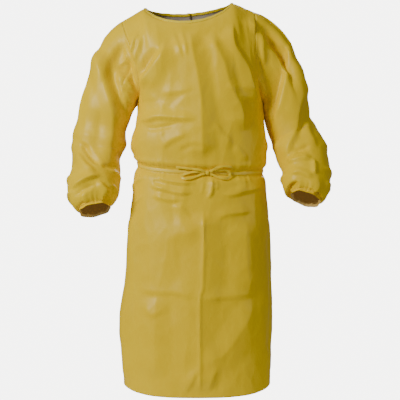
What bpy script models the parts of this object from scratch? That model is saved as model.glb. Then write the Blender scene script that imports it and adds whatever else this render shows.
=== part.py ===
"""Chemical protective gown in its worn form, hollow, with long gathered sleeves and a tied belt.

Metres, +Z up. The origin is the middle of the neck opening, on the line of the shoulders. The front
faces -Y and +X is the wearer's left. Each piece that is cut and sewn is a wall of its own, and
neighbours stop short of their shared seam. Panels are grids: a column runs from the hem up to the
shoulder, and a row runs from one side seam to the other.
"""

import math

import bmesh
import bpy
import numpy as np
from mathutils.bvhtree import BVHTree

# Cloth
WALL = 0.0015
SEAM_GAP = 0.0003
TRIM_GAP = 0.0004  # between a panel and what lies on it

# Neck and shoulders
NECK_HALF = 0.149
NECK_Y = 0.010
NECK_REACH = {"front": 0.095, "back": 0.070}
NECK_DROP = {"front": 0.074, "back": 0.018}
NECK_EASE = 1.35  # above 1 the neckline runs level over the shoulder seams
SHOULDER_HALF = 0.226
SHOULDER_DROP = 0.039
SHOULDER_TILT = 0.060  # rise of the shoulder line towards +X, for each metre

# Armholes
ARMPIT_Z = -0.340
ARMHOLE_IN = 0.10
ARMHOLE_FORE = 0.34
ARMHOLE_ROUND = 0.12
CAP_SLOPE = 0.55  # how steeply a sleeve falls away from its armhole
CAP_FULL = {"right": 1.05, "left": 1.35}  # more lets the shoulder stand out further

# Rows and columns
NECK_SHARE = 0.52  # of the way from the middle to the armhole, where the shoulder seam starts
NECK_COLUMNS = 14
SHOULDER_COLUMNS = 6
YOKE_SHARES = np.append(np.arange(1, 13) / 13, (0.982, 1.0))  # rows from the armpit to the top edge
SQUARE = 2.3  # roundness of a section: 2 is an ellipse, more is squarer
SLEEVE_SQUARE = 2.15

# Belt
BELT_Z = -0.560
BELT_ROWS = 0.0065  # from the middle of the belt's groove to the rows above and below it
BELT_WIDTH = 0.011
BELT_THICK = 0.0016
GROOVE_DEPTH = 0.0075
GROOVE_REACH = 0.016
KNOT_SHARE = 0.05  # where the bow sits, as a share of the way from the middle to the side seam

# Hem
HEM_Z = -1.3125
HEM_SIDE_LIFT = 0.022
BODY_LENGTH = -HEM_Z

# Back opening
LAP_SHARE = 0.14  # how far each back panel passes the middle, below the neck
NECK_SLIT_SHARE = 0.020
LAP_OUT = 0.0042

# Cuffs and binding
CUFF_LENGTH = 0.013
SLEEVE_GATHERS = 7
GATHER_DEEP = 0.0030
GATHER_FINE = 0.0022
BINDING_RISE = 0.0055
BINDING_LEG = 0.0040
BINDING_THICK = 0.0010
BINDING_GAP = 0.0006


def table(names, *rows):
    """Columns by name, from rows that each describe one section or one fold."""
    return dict(zip(names.split(), np.array(rows, float).T))


# Sections of the body, hem to armpit: middle, half width, and reach to the front and to the back.
BODY = table(
    "z      middle  half   front  back",
    (-1.3125, 0.0300, 0.2485, 0.160, 0.135),
    (-1.2570, 0.0300, 0.2493, 0.158, 0.134),
    (-1.1746, 0.0274, 0.2519, 0.156, 0.132),
    (-1.1129, 0.0257, 0.2570, 0.154, 0.131),
    (-1.0512, 0.0267, 0.2570, 0.151, 0.130),
    (-0.9484, 0.0343, 0.2485, 0.146, 0.128),
    (-0.8456, 0.0360, 0.2433, 0.141, 0.126),
    (-0.7633, 0.0360, 0.2399, 0.137, 0.122),
    (-0.6810, 0.0377, 0.2313, 0.133, 0.115),
    (-0.6194, 0.0394, 0.2262, 0.129, 0.105),
    (-0.5600, 0.0400, 0.2215, 0.126, 0.098),
    (-0.5303, 0.0394, 0.2245, 0.128, 0.098),
    (-0.4618, 0.0360, 0.2296, 0.132, 0.102),
    (-0.4138, 0.0394, 0.2193, 0.131, 0.106),
    (-0.3590, 0.0403, 0.2116, 0.128, 0.110),
    (-0.3400, 0.0403, 0.2110, 0.127, 0.111),
)

# Heights of the panels' rows below the armpit. The belt lies between the two rows nearest BELT_Z.
ROWS_Z = np.array(
    [HEM_Z, -1.262, -1.200, -1.120, -1.045, -1.000, -0.975, -0.940, -0.870, -0.800, -0.735]
    + [-0.680, -0.640, -0.610, -0.585, BELT_Z - BELT_ROWS, BELT_Z + BELT_ROWS, -0.533, -0.505]
    + [-0.465, -0.425, -0.380, ARMPIT_Z]
)

# Sections of a sleeve, from under the armpit to the cuff: middle, half width and half depth.
SLEEVES = {
    "right": table(
        "x      y       z      half    deep",
        (-0.2844, 0.008, -0.3624, 0.0865, 0.080),
        (-0.2990, 0.014, -0.4100, 0.0835, 0.078),
        (-0.3084, 0.015, -0.4620, 0.0900, 0.084),
        (-0.3170, 0.002, -0.5166, 0.0805, 0.078),
        (-0.3142, -0.025, -0.5722, 0.0807, 0.079),
        (-0.3190, -0.055, -0.6270, 0.0858, 0.082),
        (-0.3174, -0.080, -0.6674, 0.0750, 0.070),
        (-0.3106, -0.095, -0.6973, 0.0540, 0.050),
    ),
    "left": table(
        "x      y       z      half    deep",
        (0.3340, 0.008, -0.3600, 0.0765, 0.076),
        (0.3444, 0.014, -0.4070, 0.0750, 0.076),
        (0.3684, 0.015, -0.4550, 0.0790, 0.080),
        (0.3845, -0.010, -0.5034, 0.0855, 0.080),
        (0.3964, -0.045, -0.5594, 0.0785, 0.078),
        (0.3945, -0.080, -0.6074, 0.0780, 0.078),
        (0.4000, -0.100, -0.6376, 0.0690, 0.068),
        (0.3958, -0.112, -0.6580, 0.0520, 0.050),
    ),
}
CAP_ROWS = 7  # rows of a sleeve from the armhole to its first section
SLEEVE_ROWS = 12

# Folds of the body, seen from the front: both ends, half width and height. Above 0 is a ridge.
FRONT_FOLDS = table(
    "x0      z0      x1      z1     wide   high",
    (-0.010, -0.110, 0.040, -0.330, 0.022, 0.007),
    (0.040, -0.330, 0.044, -0.500, 0.026, 0.006),
    (-0.080, -0.150, -0.155, -0.262, 0.020, 0.010),
    (-0.105, -0.140, -0.165, -0.235, 0.016, -0.009),
    (-0.125, -0.300, -0.070, -0.375, 0.026, 0.006),
    (-0.150, -0.420, 0.030, -0.395, 0.024, 0.007),
    (-0.120, -0.425, 0.020, -0.430, 0.022, -0.005),
    (0.075, -0.135, 0.130, -0.280, 0.022, 0.008),
    (0.130, -0.280, 0.180, -0.440, 0.024, 0.008),
    (0.150, -0.100, 0.185, -0.240, 0.020, 0.008),
    (0.185, -0.240, 0.225, -0.370, 0.022, 0.007),
    (-0.130, -0.618, -0.010, -0.650, 0.018, 0.007),
    (-0.140, -0.592, 0.030, -0.612, 0.014, -0.005),
    (0.075, -0.590, 0.070, -0.690, 0.016, 0.005),
    (0.160, -0.600, 0.235, -0.650, 0.022, -0.005),
    (0.050, -0.680, 0.035, -1.300, 0.030, 0.004),
    (-0.150, -0.975, 0.205, -0.985, 0.026, -0.004),
)
BACK_FOLDS = table(
    "x0      z0      x1      z1     wide   high",
    (-0.110, -0.120, -0.150, -0.330, 0.024, 0.007),
    (0.130, -0.110, 0.190, -0.330, 0.024, 0.007),
    (-0.060, -0.420, 0.120, -0.440, 0.026, 0.006),
    (-0.130, -0.620, -0.020, -0.650, 0.022, 0.006),
    (0.120, -0.630, 0.220, -0.610, 0.022, 0.006),
    (-0.110, -0.700, -0.120, -1.250, 0.034, 0.006),
    (0.180, -0.700, 0.190, -1.250, 0.034, 0.006),
)

# Folds of a sleeve: both ends, each as a share of the length and an angle from the underarm seam
# (90 is the front, 180 the outer side), half width and height.
SLEEVE_FOLDS = {
    "right": table(
        "s0     a0   s1     a1    wide   high",
        (0.12, 150, 0.50, 95, 0.020, 0.007),
        (0.10, 75, 0.36, 50, 0.018, 0.007),
        (0.16, 100, 0.44, 70, 0.016, -0.008),
        (0.52, 130, 0.72, 40, 0.017, 0.006),
        (0.60, 130, 0.76, 70, 0.014, -0.006),
        (0.84, 150, 0.78, 70, 0.014, -0.006),
        (0.50, 20, 0.60, 350, 0.018, -0.009),
        (0.20, 230, 0.55, 280, 0.020, 0.007),
        (0.60, 220, 0.75, 300, 0.018, 0.006),
    ),
    "left": table(
        "s0     a0   s1     a1    wide   high",
        (0.10, 110, 0.44, 70, 0.018, 0.007),
        (0.12, 130, 0.42, 95, 0.016, -0.008),
        (0.24, 160, 0.60, 120, 0.020, 0.006),
        (0.42, 175, 0.50, 200, 0.020, -0.005),
        (0.55, 70, 0.80, 40, 0.016, 0.006),
        (0.72, 60, 0.66, 120, 0.016, -0.006),
        (0.20, 240, 0.55, 290, 0.020, 0.007),
        (0.60, 210, 0.78, 290, 0.018, 0.006),
    ),
}

# Tapes of the bow, from the knot: steps towards +X and up, and how far each point stands off the cloth.
BOW = {
    "bow_loop_right": table(
        "x       z       off",
        (-0.0087, 0.0030, 0.0060),
        (-0.0210, 0.0035, 0.0070),
        (-0.0480, 0.0020, 0.0085),
        (-0.0740, -0.0045, 0.0080),
        (-0.0850, -0.0125, 0.0075),
        (-0.0770, -0.0200, 0.0070),
        (-0.0600, -0.0200, 0.0070),
        (-0.0360, -0.0125, 0.0065),
        (-0.0200, -0.0060, 0.0065),
        (-0.0090, -0.0045, 0.0060),
    ),
    "bow_loop_left": table(
        "x       z       off",
        (0.0090, 0.0025, 0.0060),
        (0.0200, 0.0040, 0.0070),
        (0.0360, 0.0080, 0.0085),
        (0.0540, 0.0085, 0.0095),
        (0.0690, 0.0040, 0.0090),
        (0.0745, -0.0060, 0.0085),
        (0.0680, -0.0165, 0.0080),
        (0.0540, -0.0200, 0.0080),
        (0.0320, -0.0140, 0.0070),
        (0.0190, -0.0075, 0.0065),
        (0.0090, -0.0050, 0.0060),
    ),
    "bow_tail_right": table(
        "x       z       off",
        (-0.0084, 0.0030, 0.0100),
        (-0.0220, 0.0085, 0.0125),
        (-0.0430, 0.0115, 0.0120),
        (-0.0700, 0.0140, 0.0085),
        (-0.1040, 0.0185, 0.0060),
    ),
    "bow_tail_left": table(
        "x       z       off",
        (0.0084, 0.0030, 0.0100),
        (0.0200, 0.0100, 0.0130),
        (0.0330, 0.0165, 0.0120),
        (0.0540, 0.0205, 0.0100),
        (0.0770, 0.0185, 0.0080),
        (0.0840, 0.0115, 0.0075),
    ),
}
BOW_WIDTH = 0.0070
BOW_THICK = 0.0016
KNOT_HALF = (0.0080, 0.0055, 0.0075)  # along the belt, out of the cloth, up

# Tie at the back of the neck: its ends hang from the knot, in the same terms as the bow.
NECK_TIE = {
    "neck_tail_right": table(
        "x       z       off",
        (-0.0035, -0.0068, -0.0012),
        (-0.0055, -0.0150, 0.0018),
        (-0.0120, -0.0450, 0.0050),
        (-0.0190, -0.0900, 0.0050),
        (-0.0230, -0.1300, 0.0050),
    ),
    "neck_tail_left": table(
        "x       z       off",
        (0.0041, -0.0068, -0.0010),
        (0.0055, -0.0150, 0.0018),
        (0.0130, -0.0420, 0.0050),
        (0.0230, -0.0800, 0.0050),
        (0.0300, -0.1150, 0.0050),
    ),
}
NECK_KNOT_HALF = (0.0076, 0.0045, 0.0065)
YELLOW = (0.86, 0.66, 0.05, 1.0)
TIE_YELLOW = (0.90, 0.72, 0.08, 1.0)


# ---------------------------------------------------------------- curves and tables


def smooth(share):
    """0 to 1, level at both ends."""
    share = np.clip(share, 0.0, 1.0)
    return share * share * (3 - 2 * share)


def hermite(start, end, leave, arrive, share):
    """Cubic from start to end that leaves and arrives along the two given vectors."""
    s = np.asarray(share)[..., None]
    return (
        (2 * s**3 - 3 * s**2 + 1) * start
        + (s**3 - 2 * s**2 + s) * leave
        + (3 * s**2 - 2 * s**3) * end
        + (s**3 - s**2) * arrive
    )


def through(knots, values, at):
    """Value at each place of a smooth curve through the points of a table's column."""
    slopes = np.gradient(values, knots)
    i = np.clip(np.searchsorted(knots, at) - 1, 0, len(knots) - 2)
    span = knots[i + 1] - knots[i]
    s = (at - knots[i]) / span
    return (
        (2 * s**3 - 3 * s**2 + 1) * values[i]
        + (s**3 - 2 * s**2 + s) * span * slopes[i]
        + (3 * s**2 - 2 * s**3) * values[i + 1]
        + (s**3 - s**2) * span * slopes[i + 1]
    )


def unit(vectors):
    return vectors / np.maximum(np.linalg.norm(vectors, axis=-1, keepdims=True), 1e-12)


def bump(along, across, wide):
    """Height, 0 to 1, of a soft fold at a share along it and a distance from its line."""
    taper = smooth(along / 0.25) * smooth((1 - along) / 0.25)
    return taper * np.exp(-((across / wide) ** 2))


def fold_heights(folds, first, second, ends, scale=(1.0, 1.0)):
    """Sum of the folds' heights at points given by two coordinates; scale turns them into metres."""
    first, second = np.broadcast_arrays(first, second)
    total = np.zeros(first.shape)
    for row in zip(*folds.values()):
        start, end = np.array(row[:2]) * scale, np.array(row[2:4]) * scale
        wide, high = row[4:]
        line = end - start
        place = np.stack([first * scale[0], second * scale[1]], axis=-1) - start
        along = place @ line / (line @ line)
        across = np.abs(place @ np.array([-line[1], line[0]])) / np.linalg.norm(line)
        total += high * bump(np.clip(along, 0, 1), across, wide)
    return total * ends


# ---------------------------------------------------------------- the body's surface


def belt_shift(u, side):
    """How far the belt lies above BELT_Z: high on the wearer's right, lowest at the knot."""
    right, middle, left = 0.019, (-0.017 if side == "front" else 0.006), -0.008
    return middle + (left - right) / 2 * u + ((left + right) / 2 - middle) * u * u


def section(u, z, side):
    """Point of the body's section at height z. u runs from side seam to side seam, -1 to 1."""
    sign = -1 if side == "front" else 1
    turn = u * math.pi / 2
    power = 2 / SQUARE
    middle, half, reach = (through(BODY["z"], BODY[name], z) for name in ("middle", "half", side))
    x = middle + half * np.sign(u) * np.abs(np.sin(turn)) ** power
    y = sign * reach * np.abs(np.cos(turn)) ** power
    return np.stack(np.broadcast_arrays(x, y, z), axis=-1)


def top_edge(u, side):
    """The panel's upper edge: shoulder seam, neckline, shoulder seam."""
    sign = -1 if side == "front" else 1
    out = np.clip((np.abs(u) - NECK_SHARE) / (1 - NECK_SHARE), 0, 1)
    turn = np.clip(u / NECK_SHARE, -1, 1) * math.pi / 2
    x = NECK_HALF * np.sin(turn) + np.sign(u) * out * (SHOULDER_HALF - NECK_HALF)
    y = NECK_Y + sign * NECK_REACH[side] * np.cos(turn)
    z = -NECK_DROP[side] * np.cos(turn) ** NECK_EASE - SHOULDER_DROP * out + SHOULDER_TILT * x
    return np.stack([x, y, z], axis=-1)


def yoke(u, share, side):
    """Point between the armpit's level (share 0) and the upper edge (share 1)."""
    sign = -1 if side == "front" else 1
    step = 0.02
    chest = section(u, np.full_like(u, ARMPIT_Z), side)
    below = section(u, np.full_like(u, ARMPIT_Z - step), side)
    to_edge = 1 - np.abs(np.cos(u * math.pi / 2)) ** (2 / SQUARE)
    rise = (chest - below) / step * 0.30
    rise[..., 0] -= np.sign(u) * ARMHOLE_IN * to_edge
    rise[..., 2] -= ARMHOLE_ROUND * to_edge
    rise[..., 1] += sign * ARMHOLE_FORE * to_edge
    over = smooth(np.abs(u) / NECK_SHARE)
    past_neck = smooth((np.abs(u) - NECK_SHARE) / (1 - NECK_SHARE) / 0.7)
    turn = np.clip(u / NECK_SHARE, -1, 1) * math.pi / 2
    inward = -0.12 * np.sin(turn) * (1 - past_neck)
    arrive = np.stack([inward, -sign * (0.09 + 0.15 * over), 0.24 - 0.18 * over], axis=-1)
    return hermite(chest, top_edge(u, side), rise, arrive, share)


def body_grid(columns, side):
    """Points of a panel, one row of columns for each height; columns may differ from row to row."""
    columns = np.broadcast_to(columns, (len(ROWS_Z) + len(YOKE_SHARES), np.shape(columns)[-1]))
    lower = columns[: len(ROWS_Z)]
    z = np.broadcast_to(ROWS_Z[:, None], lower.shape)
    near_belt = np.exp(-(((z - BELT_Z) / 0.075) ** 2))
    near_hem = smooth((HEM_Z + 0.07 - z) / 0.07) * np.sin(lower * math.pi / 2) ** 4
    points = section(lower, z, side)
    points[..., 2] += belt_shift(lower, side) * near_belt
    points[..., 2] += HEM_SIDE_LIFT * near_hem
    upper = columns[len(ROWS_Z) :]
    shares = np.broadcast_to(YOKE_SHARES[:, None], upper.shape)
    points = np.concatenate([points, yoke(upper, shares, side)])
    off_belt = np.concatenate([np.abs(z - BELT_Z), np.full(upper.shape, BODY_LENGTH)])
    groove = -GROOVE_DEPTH * np.exp(-((np.maximum(off_belt - BELT_ROWS, 0) / GROOVE_REACH) ** 2))
    yoke_share = np.concatenate([np.zeros(lower.shape), shares])
    seam_free = smooth((1 - np.abs(columns)) / 0.16) * smooth((1 - yoke_share) / 0.10)
    seam_free *= 1 - np.exp(-((off_belt / 0.022) ** 2))
    folds = FRONT_FOLDS if side == "front" else BACK_FOLDS
    heights = fold_heights(folds, points[..., 0], points[..., 2], seam_free)
    ways = normals(points, 1 if side == "front" else -1)
    at_seam = (np.abs(columns) > 0.999)[..., None]
    sideways = np.sign(columns)[..., None] * np.array([1.0, 0, 0])
    ways = np.where(at_seam, sideways, ways)
    return points + ways * (groove + heights)[..., None]


def normals(points, facing, wraps=False):
    """Outward unit normals of a grid of points."""
    if wraps:
        inner = points[:, :-1]
        across = np.roll(inner, -1, axis=1) - np.roll(inner, 1, axis=1)
        across = np.concatenate([across, across[:, :1]], axis=1)
    else:
        across = np.gradient(points, axis=1)
    return facing * unit(np.cross(across, np.gradient(points, axis=0)))


def lap_out(grid, columns):
    """The wearer's left back panel, moved out where it covers the other one."""
    away = smooth((np.abs(columns) - LAP_SHARE - 0.06) / 0.25)
    return grid + normals(grid, -1) * (LAP_OUT * (1 - away))[..., None]


def panel_columns():
    """Shares of the columns, side seam to side seam."""
    shoulder = np.linspace(NECK_SHARE, 1, SHOULDER_COLUMNS + 1)
    neck = np.linspace(-NECK_SHARE, NECK_SHARE, NECK_COLUMNS + 1)
    return np.concatenate([-shoulder[::-1], neck[1:-1], shoulder])


def back_columns():
    """Shares of the wearer's right back panel's columns, from its side seam past the middle."""
    shoulder = -np.linspace(1, NECK_SHARE, SHOULDER_COLUMNS + 1)
    level = np.concatenate([np.zeros(len(ROWS_Z)), YOKE_SHARES])
    edge = LAP_SHARE - (LAP_SHARE + NECK_SLIT_SHARE) * smooth((level - 0.35) / 0.65)
    steps = np.linspace(0, 1, NECK_COLUMNS // 2 + 2)[1:]
    middle = -NECK_SHARE + steps * (edge[:, None] + NECK_SHARE)
    return np.concatenate([np.broadcast_to(shoulder, (len(level), len(shoulder))), middle], axis=1)


# ---------------------------------------------------------------- the sleeves' surface


def sleeve_frames(wearer_side):
    """Middles, axes and sizes of a sleeve's rows, from its first section to the cuff."""
    rows = SLEEVES[wearer_side]
    knots = np.arange(len(rows["x"]), dtype=float)
    at = np.linspace(0, knots[-1], SLEEVE_ROWS + 1)
    middles = np.stack([through(knots, rows[axis], at) for axis in "xyz"], axis=-1)
    along = unit(np.gradient(middles, axis=0))
    inward = 1.0 if wearer_side == "right" else -1.0
    fore = unit(np.array([0, -1.0, 0]) + along * along[:, 1:2])
    inner = np.cross(fore, along)
    inner *= np.sign(inner[:, :1]) * inward
    sizes = [through(knots, rows[name], at) for name in ("half", "deep")]
    return middles, along, inner, fore, sizes


def ring(middle, inner, fore, half, deep, angles):
    """A sleeve's section: angle 0 is the underarm seam, a quarter turn is the front."""
    power = 2 / SLEEVE_SQUARE
    cos, sin = np.cos(angles), np.sin(angles)
    across = half * np.sign(cos) * np.abs(cos) ** power
    ahead = deep * np.sign(sin) * np.abs(sin) ** power
    return middle + across[:, None] * inner + ahead[:, None] * fore


def sleeve_grid(wearer_side, armhole):
    """Points of a sleeve: rows from the armhole to the cuff, columns once round from the underarm."""
    angles = np.linspace(0, 2 * math.pi, len(armhole))
    middles, along, inner, fore, (half, deep) = sleeve_frames(wearer_side)
    rings = [ring(*row, angles) for row in zip(middles, inner, fore, half, deep)]
    out = -1.0 if wearer_side == "right" else 1.0
    span = np.linalg.norm(rings[0] - armhole, axis=1)[:, None] * CAP_FULL[wearer_side]
    leave = unit(np.array([out, 0, -CAP_SLOPE])) * span
    shares = np.arange(CAP_ROWS)[:, None] / CAP_ROWS
    cap = hermite(armhole, rings[0], leave, along[0] * span, np.broadcast_to(shares, (CAP_ROWS, len(armhole))))
    points = np.concatenate([cap, np.array(rings)])
    facing = 1 if wearer_side == "right" else -1
    share = np.linspace(0, 1, len(points))[:, None]
    turn = np.degrees(angles)[None, :]
    ends = smooth(share / 0.10)
    folds = SLEEVE_FOLDS[wearer_side]
    metres = (0.70, math.radians(0.08))
    heights = fold_heights(folds, share, turn, ends, metres) + fold_heights(folds, share, turn + 360, ends, metres)
    gathers = GATHER_DEEP * smooth((share - 0.80) / 0.20) * np.cos(SLEEVE_GATHERS * angles)[None, :]
    points = points + normals(points, facing, wraps=True) * (heights + gathers)[..., None]
    points[:, -1] = points[:, 0]
    return points


def cuff_grid(wearer_side, sleeve_end, end_facings):
    """Points and outward ways of the gathered hem that goes on from a sleeve's last row."""
    middles, along, inner, fore, (half, deep) = sleeve_frames(wearer_side)
    first, ways = with_midpoints(sleeve_end), unit(with_midpoints(end_facings))
    angles = np.linspace(0, 2 * math.pi, len(first))
    rows = [first + along[-1] * SEAM_GAP]
    for share in (0.35, 0.7, 1.0):
        wave = GATHER_DEEP * np.cos(SLEEVE_GATHERS * angles)
        wave = wave + GATHER_FINE * share * np.cos(2 * SLEEVE_GATHERS * angles)
        draw = -0.004 * math.sin(math.pi * share)
        middle = middles[-1] + along[-1] * (SEAM_GAP + CUFF_LENGTH * share)
        flat = ring(middle, inner[-1], fore[-1], half[-1] + draw, deep[-1] + draw, angles)
        rows.append(flat + unit(flat - middle) * wave[:, None])
    grid = np.array(rows)
    grid[:, -1] = grid[:, 0]
    facings = normals(grid, FACINGS["sleeve_" + wearer_side], wraps=True)
    facings[0] = ways
    return grid, facings


def with_midpoints(line):
    """The points of a line with the middle of each stretch between them."""
    doubled = np.empty((2 * len(line) - 1, 3))
    doubled[::2] = line
    doubled[1::2] = (line[1:] + line[:-1]) / 2
    return doubled


# ---------------------------------------------------------------- walls and tapes


class Seams:
    """Normals at shared seam points, so that neighbouring walls turn the same way there."""

    def __init__(self):
        self.groups = {}

    @staticmethod
    def key(point):
        return tuple(np.round(point * 1e5).astype(int))

    def add(self, group, points, facings):
        sums = self.groups.setdefault(group, {})
        for point, facing in zip(points.reshape(-1, 3), facings.reshape(-1, 3)):
            sums[self.key(point)] = sums.get(self.key(point), 0) + facing

    def shared(self, points):
        """Mean, for each point, of the groups of pieces that meet there."""
        ways = []
        for point in points.reshape(-1, 3):
            met = [unit(sums[self.key(point)]) for sums in self.groups.values() if self.key(point) in sums]
            ways.append(unit(sum(met)))
        return np.array(ways).reshape(points.shape)


def draw_in(points, edges):
    """A grid with the named edges moved back by half of the seam gap."""
    moved = points.copy()
    half = SEAM_GAP / 2
    if "first" in edges:
        moved[:, 0] += unit(points[:, 1] - points[:, 0]) * half
    if "last" in edges:
        moved[:, -1] += unit(points[:, -2] - points[:, -1]) * half
    if "bottom" in edges:
        moved[0] += unit(points[1] - points[0]) * half
    for start, stop in edges.get("top", ()):
        moved[-1, start:stop] += unit(points[-2, start:stop] - points[-1, start:stop]) * half
    return moved


def wall(name, points, facings, material, closed=False, thick=WALL):
    """A wall whose outer side is the grid of points, with its thickness inside."""
    rows, columns = points.shape[:2]
    bm = bmesh.new()
    bmesh.ops.create_grid(bm, x_segments=columns - 1, y_segments=rows - 1, size=1.0)
    bm.verts.ensure_lookup_table()
    inward = bm.verts.layers.float_vector.new("inward")
    for vertex, place, facing in zip(bm.verts, points.reshape(-1, 3), facings.reshape(-1, 3)):
        vertex.co = place
        vertex[inward] = -facing
    if closed:
        bmesh.ops.remove_doubles(bm, verts=bm.verts[:], dist=1e-6)
    made = bmesh.ops.extrude_face_region(bm, geom=bm.faces[:], use_keep_orig=True)
    for vertex in made["geom"]:
        if isinstance(vertex, bmesh.types.BMVert):
            vertex.co += vertex[inward] * thick
    finish(name, bm, material)


def tape(name, line, wide_way, out_way, wide, thick, material):
    """A flat tape along a line of points, with its width and its outer side set at each point."""
    line, wide_way, out_way = (np.array(v, float) for v in (line, wide_way, out_way))
    across, out = unit(wide_way) * wide / 2, unit(out_way) * thick
    corners = [line - across, line + across, line + across + out, line - across + out]
    tube(name, np.stack(corners, axis=1), material)


def tube(name, sections, material, loop=False):
    """A solid through sections with the same number of corners; the ends are capped unless it loops."""
    bm = bmesh.new()
    rings = [[bm.verts.new(corner) for corner in section_points] for section_points in sections]
    pairs = list(zip(rings, rings[1:])) + ([(rings[-1], rings[0])] if loop else [])
    for lower, upper in pairs:
        for k in range(len(lower)):
            bm.faces.new((lower[k - 1], lower[k], upper[k], upper[k - 1]))
    if not loop:
        bm.faces.new(rings[0])
        bm.faces.new(rings[-1][::-1])
    finish(name, bm, material)


def finish(name, bm, material):
    bmesh.ops.recalc_face_normals(bm, faces=bm.faces[:])
    mesh = bpy.data.meshes.new(name)
    bm.to_mesh(mesh)
    bm.free()
    mesh.materials.append(material)
    mesh.shade_smooth()
    mesh.set_sharp_from_angle(angle=math.radians(50))
    bpy.context.scene.collection.objects.link(bpy.data.objects.new(name, mesh))


def cloth_material(name, colour, roughness):
    material = bpy.data.materials.new(name)
    material.use_nodes = True
    shader = material.node_tree.nodes["Principled BSDF"]
    shader.inputs["Base Color"].default_value = colour
    shader.inputs["Roughness"].default_value = roughness
    shader.inputs["Metallic"].default_value = 0.0
    return material


# ---------------------------------------------------------------- pieces

# Which way round each grid runs: 1 where columns crossed with rows point out of the cloth.
FACINGS = {"front": 1, "back_right": -1, "back_left": -1, "sleeve_right": 1, "sleeve_left": -1}


def make_panels_and_sleeves(film):
    """Front, both back panels and both sleeves, which share their seams."""
    columns = panel_columns()
    right = back_columns()
    left = -right[:, ::-1]
    grids = {
        "front": body_grid(columns, "front"),
        "back_right": body_grid(right, "back"),
        "back_left": lap_out(body_grid(left, "back"), left),
    }
    first_yoke = len(ROWS_Z) - 1
    for wearer_side, column in (("right", 0), ("left", -1)):
        front_edge = grids["front"][first_yoke:, column]
        back_edge = grids["back_" + wearer_side][first_yoke:, column]
        armhole = np.concatenate([front_edge, back_edge[-2::-1]])
        grids["sleeve_" + wearer_side] = sleeve_grid(wearer_side, armhole)
    facings = {
        name: normals(
            grid,
            FACINGS[name],
            wraps=name.startswith("sleeve"),
        )
        for name, grid in grids.items()
    }
    seams = Seams()
    for name, grid in grids.items():
        whole = grid[:, :-1] if name.startswith("sleeve") else grid
        seams.add(name.split("_")[0] == "sleeve", whole, facings[name][:, : whole.shape[1]])
    shoulder = SHOULDER_COLUMNS + 1
    edges = {
        "front": {"first": 1, "last": 1, "top": ((0, shoulder), (-shoulder, None))},
        "back_right": {"first": 1, "top": ((0, shoulder),)},
        "back_left": {"last": 1, "top": ((-shoulder, None),)},
        "sleeve_right": {"bottom": 1},
        "sleeve_left": {"bottom": 1},
    }
    for name, grid in grids.items():
        shared = seams.shared(grid)
        wall(name, draw_in(grid, edges[name]), shared, film, closed=name.startswith("sleeve"))
        facings[name] = shared
    return grids, facings


def make_cuffs(grids, facings, film):
    for wearer_side in ("right", "left"):
        sleeve = "sleeve_" + wearer_side
        grid, ways = cuff_grid(wearer_side, grids[sleeve][-1], facings[sleeve][-1])
        wall("cuff_" + wearer_side, grid, ways, film, closed=True)


def neck_line(grids, facings):
    """Upper edge of the cloth round the neck, slit to slit, with the ways out of it and up past it."""
    shoulder = SHOULDER_COLUMNS
    runs = (
        ("back_right", slice(None, shoulder - 1, -1)),
        ("front", slice(shoulder + 1, -shoulder)),
        ("back_left", slice(-shoulder - 2, None, -1)),
    )
    edge = np.concatenate([grids[name][-1, span] for name, span in runs])
    out = np.concatenate([facings[name][-1, span] for name, span in runs])
    tangent = unit(np.gradient(edge, axis=0))
    up = unit(np.cross(out, tangent))
    return edge, unit(np.cross(tangent, up)), up


def make_binding(grids, facings, film):
    """A folded strip: a slot takes the neck edge, with a leg of cloth on each side of it."""
    edge, out, up = neck_line(grids, facings)
    at_shoulder = np.exp(-(((NECK_HALF - np.abs(edge[:, :1])) / 0.006) ** 2))
    leg = -BINDING_LEG * (1 - 0.6 * at_shoulder)
    outer = BINDING_GAP * (1 + at_shoulder)
    inner = -WALL - outer
    middle = -WALL / 2
    profile = (
        (outer, leg),
        (outer + BINDING_THICK, leg),
        (outer + BINDING_THICK, BINDING_RISE - 0.0012),
        (middle + 0.0007, BINDING_RISE),
        (middle - 0.0007, BINDING_RISE),
        (inner - BINDING_THICK, BINDING_RISE - 0.0012),
        (inner - BINDING_THICK, leg),
        (inner, leg),
        (inner, BINDING_GAP),
        (outer, BINDING_GAP),
    )
    corners = [edge + out * away + up * high for away, high in profile]
    tube("neck_binding", np.stack(corners, axis=1), film)


def in_groove(grids, facings, name):
    """Middle line of the belt's groove on a panel, with the ways out of it and up."""
    low = int(np.searchsorted(ROWS_Z, BELT_Z)) - 1
    lower, upper = grids[name][low], grids[name][low + 1]
    return np.stack([(lower + upper) / 2, unit(facings[name][low] + facings[name][low + 1]), unit(upper - lower)])


def knot_place(grids, facings):
    """Point of the groove under the bow's knot, with the ways out and up."""
    groove = in_groove(grids, facings, "front")
    return np.array([[np.interp(KNOT_SHARE, panel_columns(), way[:, k]) for k in range(3)] for way in groove])


def make_belt(grids, facings, tie):
    """One tape from the knot round the back, where it crosses the lap, to the knot again."""
    front, right, left = (in_groove(grids, facings, name) for name in ("front", "back_right", "back_left"))
    knot = knot_place(grids, facings)
    reach = KNOT_HALF[0] + SEAM_GAP
    before = front[:, front[0, :, 0] < knot[0, 0] - reach]
    after = front[:, front[0, :, 0] > knot[0, 0] + reach]
    ends = [beside(stretch, knot, x) for stretch, x in ((before[:, -1], -reach), (after[:, 0], reach))]
    uncovered = back_columns()[0] < -LAP_SHARE - 0.02
    run = np.concatenate(
        [
            ends[0][:, None],
            before[:, ::-1],
            right[:, uncovered][:, 1:],
            left,
            after[:, -2::-1],
            ends[1][:, None],
        ],
        axis=1,
    )
    middle, out, up = run
    tape("belt", middle + out * TRIM_GAP, up, out, BELT_WIDTH, BELT_THICK, tie)


def beside(last, knot, step):
    """Point and ways on the straight stretch from the belt's last column to the knot."""
    share = (knot[0, 0] + step - last[0, 0]) / (knot[0, 0] - last[0, 0])
    return last + (knot - last) * share


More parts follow.
